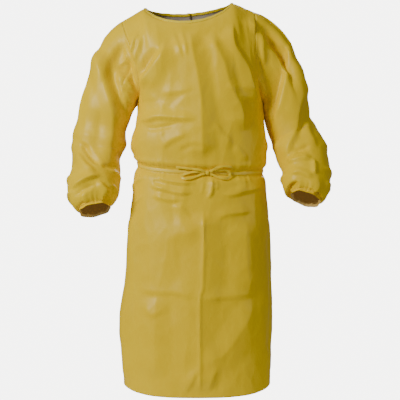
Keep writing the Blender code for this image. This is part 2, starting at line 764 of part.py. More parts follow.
def surface_y(grid, side):
    """Function that gives the outer surface's y at an x and z."""
    rows, columns = grid.shape[:2]
    corner = np.arange(rows * columns).reshape(rows, columns)
    quads = np.stack([corner[:-1, :-1], corner[:-1, 1:], corner[1:, 1:], corner[1:, :-1]], axis=-1)
    tree = BVHTree.FromPolygons(grid.reshape(-1, 3).tolist(), quads.reshape(-1, 4).tolist())
    towards = 1.0 if side == "front" else -1.0
    return lambda x, z: tree.ray_cast((x, -towards, z), (0, towards, 0))[0].y


def hanging_tape(name, route, start, surface, side, material):
    """A flat tape whose points stand off the cloth, with its width turned along the cloth."""
    knots = np.arange(len(route["x"]), dtype=float)
    at = np.linspace(0, knots[-1], 2 * len(knots) - 1)
    x, z, off = (through(knots, route[column], at) for column in ("x", "z", "off"))
    x, z = x + start[0], z + start[2]
    out = -1.0 if side == "front" else 1.0
    y = np.array([surface(*place) for place in zip(x, z)]) + out * off
    line = np.stack([x, y, z], axis=-1)
    outward = np.broadcast_to(np.array([0, out, 0]), line.shape)
    wide_way = unit(np.cross(outward, np.gradient(line, axis=0)))
    tape(name, line, wide_way, outward, BOW_WIDTH, BOW_THICK, material)


def make_knot(name, centre, out, half, material):
    """A pulled-tight knot: an eight-sided block with rounded ends."""
    along = unit(np.cross(out, [0, 0, 1.0]))
    up = unit(np.cross(along, out))
    sections = []
    for share, size in ((-1, 0.72), (-0.72, 0.98), (-0.2, 0.90), (0.25, 1.0), (0.75, 0.94), (1, 0.70)):
        angles = (np.arange(8) + 0.5) * math.pi / 4
        ring_points = (
            centre
            + along * half[0] * share
            + np.outer(np.cos(angles), out) * half[1] * size * 1.08
            + np.outer(np.sin(angles), up) * half[2] * size * 1.08
        )
        sections.append(ring_points)
    tube(name, sections, material)


def make_bow(grids, facings, tie):
    place, out, _ = knot_place(grids, facings)
    make_knot("bow_knot", place + out * (KNOT_HALF[1] + 0.0008), out, KNOT_HALF, tie)
    surface = surface_y(grids["front"], "front")
    for name, route in BOW.items():
        hanging_tape(name, route, place, surface, "front", tie)


def make_neck_tie(grids, facings, tie):
    """The knot closes the gap between the binding's ends, and both tails hang from it."""
    ends = np.array([grids["back_right"][-1, -1], grids["back_left"][-1, 0]])
    out = unit(facings["back_right"][-1, -1] + facings["back_left"][-1, 0])
    centre = ends.mean(axis=0) - out * WALL / 2
    make_knot("neck_knot", centre, out, NECK_KNOT_HALF, tie)
    uncut_back = body_grid(panel_columns(), "back")
    surface = surface_y(uncut_back + np.array([0, LAP_OUT, 0]), "back")
    for name, route in NECK_TIE.items():
        hanging_tape(name, route, centre, surface, "back", tie)


def main():
    for obj in list(bpy.data.objects):
        bpy.data.objects.remove(obj)
    film = cloth_material("yellow_film", YELLOW, 0.32)
    tie = cloth_material("tie_tape", TIE_YELLOW, 0.40)
    grids, facings = make_panels_and_sleeves(film)
    make_cuffs(grids, facings, film)
    make_binding(grids, facings, film)
    make_belt(grids, facings, tie)
    make_bow(grids, facings, tie)
    make_neck_tie(grids, facings, tie)


main()
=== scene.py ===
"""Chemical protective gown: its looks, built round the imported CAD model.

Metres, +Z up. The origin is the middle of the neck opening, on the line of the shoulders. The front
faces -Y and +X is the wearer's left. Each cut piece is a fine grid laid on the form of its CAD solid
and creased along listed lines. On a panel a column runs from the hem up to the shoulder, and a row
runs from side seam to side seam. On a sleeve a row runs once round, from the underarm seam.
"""

import functools
import math

import bmesh
import bpy
import numpy as np
from mathutils import Matrix, Vector, noise
from mathutils.bvhtree import BVHTree


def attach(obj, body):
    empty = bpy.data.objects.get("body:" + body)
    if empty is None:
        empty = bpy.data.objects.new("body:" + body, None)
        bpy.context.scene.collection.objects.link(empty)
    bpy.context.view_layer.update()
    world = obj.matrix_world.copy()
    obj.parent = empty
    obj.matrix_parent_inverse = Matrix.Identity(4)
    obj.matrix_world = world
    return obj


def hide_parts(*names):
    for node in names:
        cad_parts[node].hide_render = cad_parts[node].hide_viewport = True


bl_info = {
    "name": "Chemical protective gown",
    "version": (1, 0, 0),
    "blender": (4, 5, 0),
    "location": "View3D > Sidebar > Gown",
    "description": "Builds a worn, hollow gown of yellow film laminate with a tied belt",
    "category": "Object",
}

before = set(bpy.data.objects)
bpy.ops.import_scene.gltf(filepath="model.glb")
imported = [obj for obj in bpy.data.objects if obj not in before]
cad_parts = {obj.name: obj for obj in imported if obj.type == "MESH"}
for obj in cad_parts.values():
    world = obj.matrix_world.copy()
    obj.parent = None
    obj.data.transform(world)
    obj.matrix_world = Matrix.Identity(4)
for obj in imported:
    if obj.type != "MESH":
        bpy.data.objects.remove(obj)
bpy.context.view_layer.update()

# Neck and shoulders
NECK_HALF = 0.149
NECK_Y = 0.010
NECK_REACH = {"front": 0.095, "back": 0.070}
NECK_DROP = {"front": 0.074, "back": 0.018}
NECK_EASE = 1.35  # above 1 the neckline runs level over the shoulder seams
SHOULDER_HALF = 0.226
SHOULDER_DROP = {"right": 0.039, "left": 0.036}
SHOULDER_TILT = 0.060  # rise of the shoulder line towards +X, for each metre
NECK_LEAN = 0.12  # how far the yoke leans in as it comes up to the neck

# Yoke, between the armpits' level and the top edge
YOKE_RISE = 0.30  # how long it goes on along the chest's slope
YOKE_FLAT = (0.09, 0.15)  # how level it arrives at the middle of the neck, and more over the shoulder
YOKE_STEEP = (0.24, 0.18)  # how steeply it arrives there, and less over the shoulder
SHOULDER_EASE = 0.7  # share of the shoulder seam over which the neck's lean fades

# Armholes
ARMPIT_Z = -0.340
ARMHOLE_IN = 0.10
ARMHOLE_FORE = 0.34
ARMHOLE_ROUND = 0.12
CAP_SLOPE = 0.55  # how steeply a sleeve falls away from its armhole
CAP_FULL = {"right": 0.98, "left": 1.24}  # more lets the shoulder stand out further
CAP_BLEND = 0.18  # height above the armpit over which a sleeve comes to run on from the panels
CAP_PART = 7 / 19  # share of a sleeve's length that its cap takes

# Sections
NECK_SHARE = 0.52  # of the way from the middle to the armhole, where the shoulder seam starts
SQUARE = 2.3  # roundness of a section: 2 is an ellipse, more is squarer
SLEEVE_SQUARE = 2.15

# Belt's groove
BELT_Z = -0.560
BELT_HALF = 0.0065
GROOVE_DEPTH = 0.0075
GROOVE_REACH = 0.016
BELT_SLOPE_REACH = 0.075  # how far from the belt the rows still follow its slope
BELT_AT_SEAM = {"right": 0.019, "left": -0.008}  # how far the belt lies above BELT_Z there
BELT_AT_MIDDLE = {"front": -0.017, "back": 0.006}
KNOT_SHARE = 0.05  # where the bow sits, as a share of the way from the middle to the side seam

# Gathers and slack beside the belt
BLOUSE = (0.0035, 0.021, 0.011)  # the bodice's roll over the belt: height, how far up, how wide
GATHER_RISE = 0.0013
GATHER_FADE = {"above": 0.020, "below": 0.034}

# Hem
HEM_Z = -1.3125
HEM_SIDE_LIFT = 0.022
HEM_REACH = 0.07  # how far above the hem its lift at the sides fades

# Back opening
LAP_SHARE = 0.14  # how far each back panel passes the middle, below the neck
NECK_SLIT_SHARE = -0.010  # below 0 the edges overlap under the knot
LAP_OUT = 0.0042

# Grids
SHOULDER_COLUMNS = 36
NECK_COLUMNS = 104
YOKE_ROWS = 60
CAP_ROWS = 44
SLEEVE_ROWS = 124
ROW_STOPS = ((-0.72, 96), (-0.60, 32), (-0.52, 30), (ARMPIT_Z, 38))  # a height, and the steps up to it
YOKE_STOPS = np.concatenate([np.arange(13) / 13, [0.982, 1.0]])  # where the CAD solids' rows are

# The view that the front's creases are drawn in
EYE = (0.0394, -3.2, -0.6675)
EYE_LENS = 84.05
SENSOR = 36.0

# Cloth
FOLD_SHRINK = 0.45  # how narrow a crease gets towards its ends
SEAM_FREE = 0.05  # share of a panel's row, next to a side seam, over which creases fade
TOP_FREE = 0.07  # share of the yoke, below its top edge, over which creases fade
BELT_FREE = 0.016  # and the distance from the belt's groove
CRUMPLE = 0.0046  # height of the large flats of crumpled film
CRUMPLE_FINE = 0.0012  # and of the small ones
CRUMPLE_SEED = 3  # unseeded, the noise would follow the clock and change from run to run
CRUMPLE_SIZE, CRUMPLE_FINE_SIZE = 0.095, 0.040
WIDER = 1.25  # creases reach this much further than their table says
DEEPER = 1.68  # and stand this much higher
FOLD_END = 0.055  # how far a crease takes to rise at an end
FOLD_SIDES = 0.007  # how far a crease's two reaches take to pass into each other
PAINTED_THROUGH_GLOW = 0.07  # strength of the painted glow (emission) that stands for light coming through a sleeve's film
PUCKER = 0.0009  # height of the small gathers where a sleeve is set in
PUCKER_REACH = 0.016
PUCKERS = 31
SEAM_DIP = 0.0003  # how far a stitched seam lies below the cloth beside it
SEAM_REACH = 0.0035

# Cuffs
CUFF_LENGTH = 0.013
CUFF_ROWS = 14
CUFF_DRAW = (0.0042, 0.0012)  # how far the elastic draws the hem in, midway, and then lets it out
CUFF_UNEVEN = 0.05
GATHERS_FROM, FINE_GATHERS_FROM = 0.80, 0.88  # shares of a sleeve's length
SLEEVE_GATHERS = 7
GATHER_DEEP = 0.0030
GATHERS = ((13, 0.9, 0.0012), (19, 2.1, 0.0010), (29, 0.4, 0.0006))  # waves round, turn, height

# Binding
BINDING_RISE = 0.0055
BINDING_LEG = 0.0048
BINDING_GAP = 0.0006

# Knots and tapes
KNOT_HALF = (0.0080, 0.0055, 0.0075)  # along the belt, out of the cloth, up
NECK_KNOT_HALF = (0.0076, 0.0045, 0.0065)
NECK_KNOT_OUT = 0.002
TAPE_GAP = 0.0004
TAPE_CORNERS = 24
TAPE_SQUARE = 2.5
FOLD_MARK = 0.00015
BINDING_TURNS = 9

# Which way round a sleeve's grid runs: 1 where columns crossed with rows point out of the cloth
SLEEVE_FACING = {"right": 1, "left": -1}

FLOOR_RADIUS = 0.9
ROOM_LIGHT = 0.15
BACKDROP_LIGHT = 6.0  # how bright the pale backdrop looks

LAMP_COLOUR = (1.0, 0.96, 0.88)
# Soft boxes: place, what it is aimed at, size and power
LIGHTS = (
    ("key", (-2.7, -2.45, 0.9), (0, 0, -0.6), 1.1, 128),
    ("fill", (3.2, -2.3, 0.0), (0, 0, -0.7), 1.8, 19),
    ("top", (-0.4, -0.6, 2.2), (0, 0, -0.5), 1.6, 7),
    ("back", (0.9, 3.4, 1.3), (0, 0, -0.6), 1.6, 66),
)


def table(names, *rows):
    """Columns by name, from rows that each describe one section."""
    return dict(zip(names.split(), np.array(rows, float).T))


# Sections of the body, hem to armpit: middle, half width, and reach to the front and to the back.
BODY = table(
    "z      middle  half   front  back",
    (-1.3125, 0.0300, 0.2485, 0.160, 0.135),
    (-1.2570, 0.0300, 0.2493, 0.158, 0.134),
    (-1.1746, 0.0274, 0.2519, 0.156, 0.132),
    (-1.1129, 0.0257, 0.2570, 0.154, 0.131),
    (-1.0512, 0.0267, 0.2570, 0.151, 0.130),
    (-0.9484, 0.0343, 0.2485, 0.146, 0.128),
    (-0.8456, 0.0360, 0.2433, 0.141, 0.126),
    (-0.7633, 0.0360, 0.2399, 0.137, 0.122),
    (-0.6810, 0.0377, 0.2313, 0.133, 0.115),
    (-0.6194, 0.0394, 0.2262, 0.129, 0.105),
    (-0.5600, 0.0400, 0.2215, 0.126, 0.098),
    (-0.5303, 0.0394, 0.2245, 0.128, 0.098),
    (-0.4618, 0.0360, 0.2296, 0.132, 0.102),
    (-0.4138, 0.0394, 0.2193, 0.131, 0.106),
    (-0.3590, 0.0403, 0.2116, 0.128, 0.110),
    (-0.3400, 0.0403, 0.2110, 0.127, 0.111),
)

# Sections of a sleeve, from under the armpit to the cuff: middle, half width and half depth.
SLEEVES = {
    "right": table(
        "x      y       z      half    deep",
        (-0.2844, 0.008, -0.3624, 0.0865, 0.080),
        (-0.2990, 0.014, -0.4100, 0.0835, 0.078),
        (-0.3084, 0.015, -0.4620, 0.0900, 0.084),
        (-0.3170, 0.002, -0.5166, 0.0805, 0.078),
        (-0.3142, -0.025, -0.5722, 0.0807, 0.079),
        (-0.3190, -0.055, -0.6270, 0.0858, 0.082),
        (-0.3184, -0.080, -0.6644, 0.0750, 0.070),
        (-0.3126, -0.093, -0.6905, 0.0525, 0.050),
    ),
    "left": table(
        "x      y       z      half    deep",
        (0.3340, 0.008, -0.3600, 0.0765, 0.076),
        (0.3444, 0.014, -0.4070, 0.0750, 0.076),
        (0.3684, 0.015, -0.4550, 0.0790, 0.080),
        (0.3845, -0.010, -0.5034, 0.0855, 0.080),
        (0.3964, -0.045, -0.5594, 0.0785, 0.078),
        (0.3945, -0.080, -0.6074, 0.0780, 0.078),
        (0.3980, -0.100, -0.6346, 0.0690, 0.068),
        (0.3915, -0.110, -0.6535, 0.0505, 0.050),
    ),
}

# Tapes of the bow, from the knot: steps towards +X and up, and how far each point stands off the cloth.
BOW = {
    "bow_loop_right": table(
        "x       z       off",
        (-0.0087, 0.0030, 0.0060),
        (-0.0210, 0.0035, 0.0070),
        (-0.0480, 0.0020, 0.0085),
        (-0.0740, -0.0045, 0.0080),
        (-0.0850, -0.0125, 0.0075),
        (-0.0770, -0.0200, 0.0070),
        (-0.0600, -0.0200, 0.0070),
        (-0.0360, -0.0125, 0.0065),
        (-0.0200, -0.0060, 0.0065),
        (-0.0090, -0.0045, 0.0060),
    ),
    "bow_loop_left": table(
        "x       z       off",
        (0.0090, 0.0025, 0.0060),
        (0.0200, 0.0040, 0.0070),
        (0.0360, 0.0080, 0.0085),
        (0.0540, 0.0085, 0.0095),
        (0.0690, 0.0040, 0.0090),
        (0.0745, -0.0060, 0.0085),
        (0.0680, -0.0165, 0.0080),
        (0.0540, -0.0200, 0.0080),
        (0.0320, -0.0140, 0.0070),
        (0.0190, -0.0075, 0.0065),
        (0.0090, -0.0050, 0.0060),
    ),
    "bow_tail_right": table(
        "x       z       off",
        (-0.0084, 0.0030, 0.0100),
        (-0.0220, 0.0085, 0.0125),
        (-0.0430, 0.0115, 0.0120),
        (-0.0700, 0.0140, 0.0085),
        (-0.1040, 0.0185, 0.0060),
    ),
    "bow_tail_left": table(
        "x       z       off",
        (0.0084, 0.0030, 0.0100),
        (0.0200, 0.0100, 0.0130),
        (0.0330, 0.0165, 0.0120),
        (0.0540, 0.0205, 0.0100),
        (0.0770, 0.0185, 0.0080),
        (0.0840, 0.0115, 0.0075),
    ),
}

# Ends of the tie at the back of the neck, in the same terms as the bow.
NECK_TIE = {
    "neck_tail_right": table(
        "x       z       off",
        (-0.0035, -0.0068, -0.0012),
        (-0.0055, -0.0150, 0.0018),
        (-0.0120, -0.0450, 0.0050),
        (-0.0190, -0.0900, 0.0050),
        (-0.0230, -0.1300, 0.0050),
    ),
    "neck_tail_left": table(
        "x       z       off",
        (0.0041, -0.0068, -0.0010),
        (0.0055, -0.0150, 0.0018),
        (0.0130, -0.0420, 0.0050),
        (0.0230, -0.0800, 0.0050),
        (0.0300, -0.1150, 0.0050),
    ),
}

# Creases, in millimetres: rise (below 0 is a trough), reach to its left and to its right, and how
# rounded its top is (1 is a sharp fold, 2 is soft). Then the points of its line, as x and z in a view.
CREASES = {
    "front": (
        # chest and neck
        (10, 72, 40, 1.0, (3, -86), (15, -163), (28, -224), (42, -315), (46, -415), (48, -530)),
        (2.5, 14, 7, 1.1, (-52, -91), (-33, -148), (-19, -188)),
        (2.5, 12, 7, 1.1, (-27, -83), (-12, -140), (-5, -185)),
        (1.4, 26, 12, 1.1, (-135, -297), (-108, -332), (-72, -371)),
        (1.4, 24, 12, 1.1, (-67, -366), (-36, -339), (2, -304)),
        (2.4, 9, 26, 1.0, (-102, -304), (-41, -297), (25, -284)),
        (2.2, 9, 22, 1.0, (115, -287), (176, -284), (255, -284)),
        (6, 9, 26, 1.05, (-180, -400), (-138, -392), (-92, -383), (34, -393)),
        (-3, 12, 7, 1.3, (-166, -414), (-115, -421), (-29, -404)),
        (6.5, 34, 9, 1.05, (151, -57), (156, -135), (199, -209), (221, -288), (238, -354)),
        (9, 50, 28, 1.0, (66, -92), (96, -150), (120, -195), (141, -274), (178, -360), (188, -440)),
        (3, 29.4, 9, 1.2, (87, -393), (115, -441), (163, -482)),
        (3.4, 10, 22, 1.1, (-98, -496), (-57, -462), (5, -438)),
        (-3, 12, 9, 1.2, (-36, -503), (12, -482), (60, -489)),
        (2.6, 18, 9, 1.1, (154, -476), (180, -505), (205, -536)),
        # wearer's right armhole
        (6.5, 24, 10, 1.05, (-156, -78), (-183, -119), (-204, -181), (-232, -205), (-255, -217)),
        (-5, 10, 14, 1.2, (-200, -190), (-196, -232), (-181, -290)),
        (5, 22, 11, 1.1, (-148, -88), (-168, -133), (-183, -184), (-193, -218)),
        (8, 12, 42, 1.05, (-80, -120), (-93, -168), (-123, -209), (-148, -244), (-172, -292)),
        (-6, 18, 9, 1.3, (-104, -140), (-138, -199), (-168, -256)),
        # wearer's left armhole
        (6, 12, 20, 1.0, (166, -60), (218, -70), (243, -100), (251, -160), (258, -225)),
        (-2.5, 9, 12, 1.4, (231, -119), (236, -160), (245, -208), (252, -256)),
        # wearer's right sleeve
        (
            12, 30, 31, 1.0,
            (-314, -140), (-308, -190), (-296, -247), (-283, -290), (-267, -345), (-262, -385),
            (-268, -436), (-274, -486), (-270, -545),
        ),
        (-3, 16, 9, 1.2, (-272, -200), (-258, -250), (-239, -310), (-224, -360), (-208, -400)),
        (7, 12, 40, 1.05, (-250, -205), (-236, -262), (-220, -325), (-206, -375)),
        (3.5, 20, 10, 1.15, (-246, -245), (-207, -260), (-181, -294)),
        (3, 10, 16, 1.15, (-222, -292), (-205, -321), (-192, -345)),
        (-6.5, 8, 15.3, 1.2, (-372, -465), (-333, -523), (-298, -553)),
        (7, 21, 9, 1.1, (-385, -496), (-351, -548), (-314, -575)),
        (-5, 9, 9, 1.3, (-303, -549), (-271, -552), (-240, -553)),
        (8, 9, 19, 1.05, (-403, -632), (-368, -606), (-333, -588), (-298, -584)),
        (6.5, 14, 9, 1.1, (-315, -597), (-280, -641), (-268, -663)),
        (-4.5, 10.5, 9, 1.3, (-392, -657), (-358, -630), (-320, -613)),
        # wearer's left sleeve
        (-6, 32, 11, 1.15, (331, -125), (327, -188), (318, -240), (304, -291), (288, -352), (274, -405)),
        (-5, 40, 15, 1.2, (322, -205), (306, -285), (290, -345), (276, -405), (268, -450)),
        (2.5, 9, 16, 1.0, (343, -119), (341, -180), (333, -240), (318, -300), (296, -393)),
        (
            8, 50, 10, 1.0,
            (376, -170), (396, -235), (402, -270), (386, -330), (374, -366), (367, -439), (351, -475),
            (333, -535),
        ),
        (4.5, 18, 12, 1.1, (404, -393), (412, -440), (440, -490)),
        (7, 9, 20, 1.05, (334, -545), (375, -530), (427, -523)),
        (5, 9, 9, 1.1, (428, -523), (431, -554), (431, -588)),
        (5, 8, 14, 1.1, (345, -580), (380, -571), (411, -584), (427, -602)),
        (-4.5, 11, 9, 1.3, (355, -496), (382, -496), (420, -479)),
        # below the belt
        (4, 9, 18, 1.05, (-102, -569), (-99, -586), (-72, -601), (-21, -609), (30, -609)),
        (5, 9, 20, 1.05, (-136, -616), (-89, -629), (-38, -642), (20, -645)),
        (-2, 9, 7, 1.4, (-123, -599), (-98, -611), (-75, -619)),
        (3.6, 9, 20, 1.05, (-128, -650), (-80, -664), (-20, -668)),
        (4.5, 12, 8, 1.1, (74, -585), (81, -608), (77, -645), (62, -667)),
        (2, 8.4, 7, 1.2, (92, -593), (98, -613), (96, -637)),
        (1.2, 6, 6, 1.5, (50, -602), (50, -620), (43, -650)),
        (1.2, 6, 6, 1.5, (66, -599), (66, -620), (60, -650)),
        (3.4, 9, 20, 1.05, (108, -646), (150, -650), (211, -633), (262, -625)),
        (1.8, 14, 14, 1.4, (160, -590), (188, -600), (182, -628), (150, -637)),
        (2, 18.9, 8, 1.2, (-64, -689), (-23, -697), (11, -741)),
        (3, 9, 24, 1.05, (104, -752), (112, -724), (150, -714), (224, -706)),
        # skirt
        (9, 90, 60, 1.0, (50, -700), (52, -805), (48, -966), (39, -1007), (39, -1226), (39, -1336)),
        (2, 6, 6, 1.1, (50, -690), (52, -805), (48, -966), (39, -1007), (39, -1226), (39, -1336)),
        (4, 60, 36, 1.0, (40, -752), (-3, -779), (-68, -800), (-76, -856), (-89, -916), (-106, -984)),
        (5.5, 54, 50, 1.0, (196, -730), (194, -800), (198, -899), (215, -995)),
        (3.4, 9, 32, 1.0, (-176, -974), (-110, -983), (-38, -986), (38, -1010)),
        (3.6, 9, 32, 1.0, (40, -1010), (117, -1002), (215, -991), (240, -988)),
        (5.5, 45, 50, 1.0, (216, -1000), (204, -1070), (162, -1139), (117, -1199), (40, -1228)),
        (5, 54, 44, 1.0, (-108, -985), (-115, -1113), (-112, -1290)),
        (2.4, 9, 16.8, 1.1, (-149, -1024), (-126, -1062), (-84, -1041)),
        (3, 21, 8.6, 1.0, (39, -1240), (18, -1273), (-14, -1337)),
        (2.6, 25.2, 9, 1.1, (96, -1240), (80, -1287), (66, -1328)),
    ),
    "back": (
        (6, 16, 22, 1.5, (-95, -60), (-120, -150), (-140, -250), (-150, -330)),
        (5, 20, 14, 1.5, (110, -55), (150, -140), (180, -240), (190, -330)),
        (-5, 12, 14, 1.8, (-70, -50), (-100, -150), (-120, -240)),
        (4, 16, 14, 1.5, (-40, -60), (-50, -140), (-30, -230), (-45, -330)),
        (4, 14, 18, 1.5, (60, -50), (85, -130), (75, -220), (100, -300)),
        (-4, 10, 10, 1.8, (30, -120), (55, -180), (50, -260)),
        (2.2, 22, 6, 1.1, (-150, -288), (-40, -292), (60, -284), (180, -290)),
        (5, 12, 10, 1.6, (-150, -400), (-80, -430), (20, -425), (80, -445)),
        (5, 10, 12, 1.6, (220, -395), (150, -430), (90, -470), (60, -500)),
        (-4, 10, 10, 1.8, (-130, -450), (-40, -470), (50, -465)),
        (4, 10, 8, 1.5, (-120, -510), (-70, -535), (-10, -530)),
        (5, 8, 9, 1.5, (-120, -600), (-80, -625), (-20, -640), (30, -640)),
        (5, 9, 8, 1.5, (210, -590), (160, -620), (120, -655)),
        (-4, 8, 8, 1.8, (-100, -640), (-40, -660), (20, -665)),
        (4, 7, 7, 1.5, (70, -590), (85, -640), (75, -690)),
        (-3, 6, 6, 1.8, (95, -590), (105, -630), (100, -670)),
        (7, 70, 60, 1.1, (-120, -690), (-115, -850), (-118, -1000), (-110, -1300)),
        (7, 60, 80, 1.1, (185, -690), (178, -850), (182, -1010), (190, -1300)),
        (3.5, 30, 24, 1.1, (-210, -985), (-60, -992), (90, -985), (260, -990)),
        (-5, 34, 30, 1.8, (40, -720), (30, -900), (45, -1100), (30, -1290)),
        (4, 26, 26, 1.6, (100, -800), (115, -950), (105, -1100)),
        (-4, 24, 24, 1.8, (-60, -760), (-50, -900), (-60, -1060)),
        (4, 14, 12, 1.5, (-200, -1020), (-170, -1130), (-120, -1220)),
        (4, 12, 12, 1.5, (230, -1080), (170, -1180), (120, -1290)),
        (5, 12, 10, 1.5, (-250, -130), (-262, -220), (-250, -320), (-256, -400)),
        (-6, 10, 12, 1.8, (-215, -150), (-226, -250), (-236, -330)),
        (4, 10, 10, 1.6, (-330, -240), (-345, -330), (-350, -420)),
        (5, 10, 12, 1.5, (300, -120), (322, -210), (330, -330), (352, -420)),
        (-6, 11, 10, 1.8, (268, -130), (282, -220), (290, -320)),
        (4, 10, 10, 1.6, (390, -260), (400, -350), (420, -440)),
        (5, 9, 9, 1.5, (-385, -500), (-330, -520), (-270, -500)),
        (-4, 8, 8, 1.8, (-380, -530), (-320, -545), (-260, -530)),
        (5, 9, 9, 1.5, (450, -480), (400, -505), (340, -490)),
        (4, 8, 9, 1.5, (-370, -620), (-320, -600), (-270, -640)),
        (4, 8, 9, 1.5, (450, -600), (400, -575), (350, -610)),
    ),
    "right": (
        (2.5, 10, 12, 1.5, (-30, -130), (-50, -220), (-20, -330), (-40, -440)),
        (-5, 12, 10, 1.8, (30, -120), (20, -230), (40, -340)),
        (4, 12, 10, 1.5, (60, -260), (50, -380), (65, -470)),
        (3, 16, 18, 1.8, (-70, -470), (-20, -490), (50, -480)),
        (4, 9, 8, 1.5, (-120, -580), (-60, -600), (0, -640)),
        (4, 8, 8, 1.5, (-130, -640), (-90, -650), (-50, -690)),
        (5, 40, 50, 1.2, (-60, -700), (-70, -900), (-60, -1290)),
        (-5, 30, 30, 1.8, (30, -760), (20, -960), (30, -1200)),
        (0.8, 40, 40, 1.8, (-110, -985), (0, -992), (90, -986)),
    ),
    "left": (
        (2, 12, 10, 1.5, (-20, -130), (-45, -220), (-15, -320), (-35, -430)),
        (-5, 10, 12, 1.8, (35, -110), (25, -220), (45, -330)),
        (4, 10, 12, 1.5, (60, -240), (48, -360), (60, -450)),
        (3, 16, 18, 1.8, (-90, -460), (-30, -485), (50, -470)),
        (4, 8, 9, 1.5, (-140, -560), (-80, -575), (-20, -610)),
        (4, 8, 8, 1.5, (-150, -610), (-110, -620), (-70, -650)),
        (5, 50, 40, 1.2, (50, -700), (60, -900), (45, -1290)),
        (-5, 30, 30, 1.8, (-40, -760), (-30, -960), (-40, -1200)),
        (0.8, 40, 40, 1.8, (-110, -985), (0, -992), (90, -986)),
    ),
}
# The way each view looks from, and how square on to it the cloth must be for the creases to show.
VIEWS = {
    "front": ((0, -1, 0), 0.05, 0.45),
    "back": ((0, 1, 0), 0.15, 0.55),
    "right": ((-1, 0, 0), 0.55, 0.85),
    "left": ((1, 0, 0), 0.55, 0.85),
}


# ---------------------------------------------------------------- curves


def smooth(share):
    """0 to 1, level at both ends."""
    share = np.clip(share, 0.0, 1.0)
    return share * share * (3 - 2 * share)


def hermite(start, end, leave, arrive, share):
    """Cubic from start to end that leaves and arrives along the two given vectors."""
    s = np.asarray(share)[..., None]
    return (
        (2 * s**3 - 3 * s**2 + 1) * start
        + (s**3 - 2 * s**2 + s) * leave
        + (3 * s**2 - 2 * s**3) * end
        + (s**3 - s**2) * arrive
    )


def through(knots, values, at):
    """Value at each place of a smooth curve through the points of a table's column."""
    slopes = np.gradient(values, knots)
    i = np.clip(np.searchsorted(knots, at) - 1, 0, len(knots) - 2)
    span = knots[i + 1] - knots[i]
    s = (at - knots[i]) / span
    return (
        (2 * s**3 - 3 * s**2 + 1) * values[i]
        + (s**3 - 2 * s**2 + s) * span * slopes[i]
        + (3 * s**2 - 2 * s**3) * values[i + 1]
        + (s**3 - s**2) * span * slopes[i + 1]
    )


def unit(vectors):
    return vectors / np.maximum(np.linalg.norm(vectors, axis=-1, keepdims=True), 1e-12)


def normals(points, facing, wraps=False):
    """Outward unit normals of a grid of points."""
    if wraps:
        inner = points[:, :-1]
        across = np.roll(inner, -1, axis=1) - np.roll(inner, 1, axis=1)
        across = np.concatenate([across, across[:, :1]], axis=1)
    else:
        across = np.gradient(points, axis=1)
    return facing * unit(np.cross(across, np.gradient(points, axis=0)))


def running(points, axis):
    """Distance along the grid's rows (axis 1) or columns (axis 0), from their first point."""
    steps = np.linalg.norm(np.diff(points, axis=axis), axis=-1)
    start = np.zeros_like(np.take(steps, [0], axis=axis))
    return np.concatenate([start, np.cumsum(steps, axis=axis)], axis=axis)


# ---------------------------------------------------------------- creases


def seen(points, view):
    """The x and z at which a view shows each point, in metres."""
    if view == "front":
        scale = EYE[1] / (EYE[1] - points[..., 1])
        return np.stack([EYE[k] + (points[..., k] - EYE[k]) * scale for k in (0, 2)], axis=-1)
    return points[..., (0, 2)] if view == "back" else points[..., (1, 2)]


def crease_height(places, crease):
    """Height of one crease at places in its view."""
    rise, left, right, power = crease[:4]
    marks = np.array(crease[4:], float) / 1000
    knots = np.arange(len(marks), dtype=float)
    fine = np.linspace(0, knots[-1], 5 * (len(marks) - 1) + 1)
    line = np.stack([through(knots, marks[:, k], fine) for k in (0, 1)], axis=-1)
    reach = 3 * max(left, right) / 1000
    near = ((places > line.min(axis=0) - reach) & (places < line.max(axis=0) + reach)).all(axis=-1)
    height = np.zeros(places.shape[:-1])
    if not near.any():
        return height
    spots = places[near]
    lengths = np.linalg.norm(np.diff(line, axis=0), axis=1)
    starts = np.concatenate([[0], np.cumsum(lengths)])
    closest = np.full(len(spots), np.inf)
    along, side = np.zeros(len(spots)), np.ones(len(spots))
    for start, end, length, begun in zip(line, line[1:], lengths, starts):
        way = (end - start) / length
        off = spots - start
        run = np.clip(off @ way, 0, length)
        apart = np.linalg.norm(off - run[:, None] * way, axis=1)
        better = apart < closest
        closest[better] = apart[better]
        along[better] = (begun + run[better]) / starts[-1]
        side[better] = np.sign(off[better] @ np.array([-way[1], way[0]]))
    end = min(0.3, FOLD_END / starts[-1])
    taper = smooth(along / end) * smooth((1 - along) / end)
    to_right = smooth(0.5 + side * closest / FOLD_SIDES / 2)
    wide = WIDER * (left + (right - left) * to_right) / 1000 * (FOLD_SHRINK + (1 - FOLD_SHRINK) * taper)
    rounding = 0.2 * (power - 1) + 0.012
    out = np.sqrt((closest / wide) ** 2 + rounding**2) - rounding
    height[near] = DEEPER * rise / 1000 * taper * flank(out)
    return height


def flank(out):
    """A fold's height beside its line: two flat sides that ease into the cloth at their feet."""
    foot = 1.25 * np.maximum(1.2 - out, 0) ** 2
    return np.where(out < 0.8, 1 - out, foot)


def crease_heights(points, ways):
    """Sum of all creases at a grid's points, each where the cloth faces its view."""
    total = np.zeros(points.shape[:-1])
    for view, (way, turned, square_on) in VIEWS.items():
        facing = smooth((ways @ np.array(way, float) - turned) / (square_on - turned))
        shown = facing > 0
        places = seen(points[shown], view)
        total[shown] += facing[shown] * sum(crease_height(places, crease) for crease in CREASES[view])
    return evened(total)


def evened(heights):
    """Heights on a grid with each mixed with its neighbours', so that a slanting crease has no steps."""
    wide = np.pad(heights, 1, mode="edge")
    across = (wide[:, :-2] + 4 * wide[:, 1:-1] + wide[:, 2:]) / 6
    return (across[:-2] + 4 * across[1:-1] + across[2:]) / 6


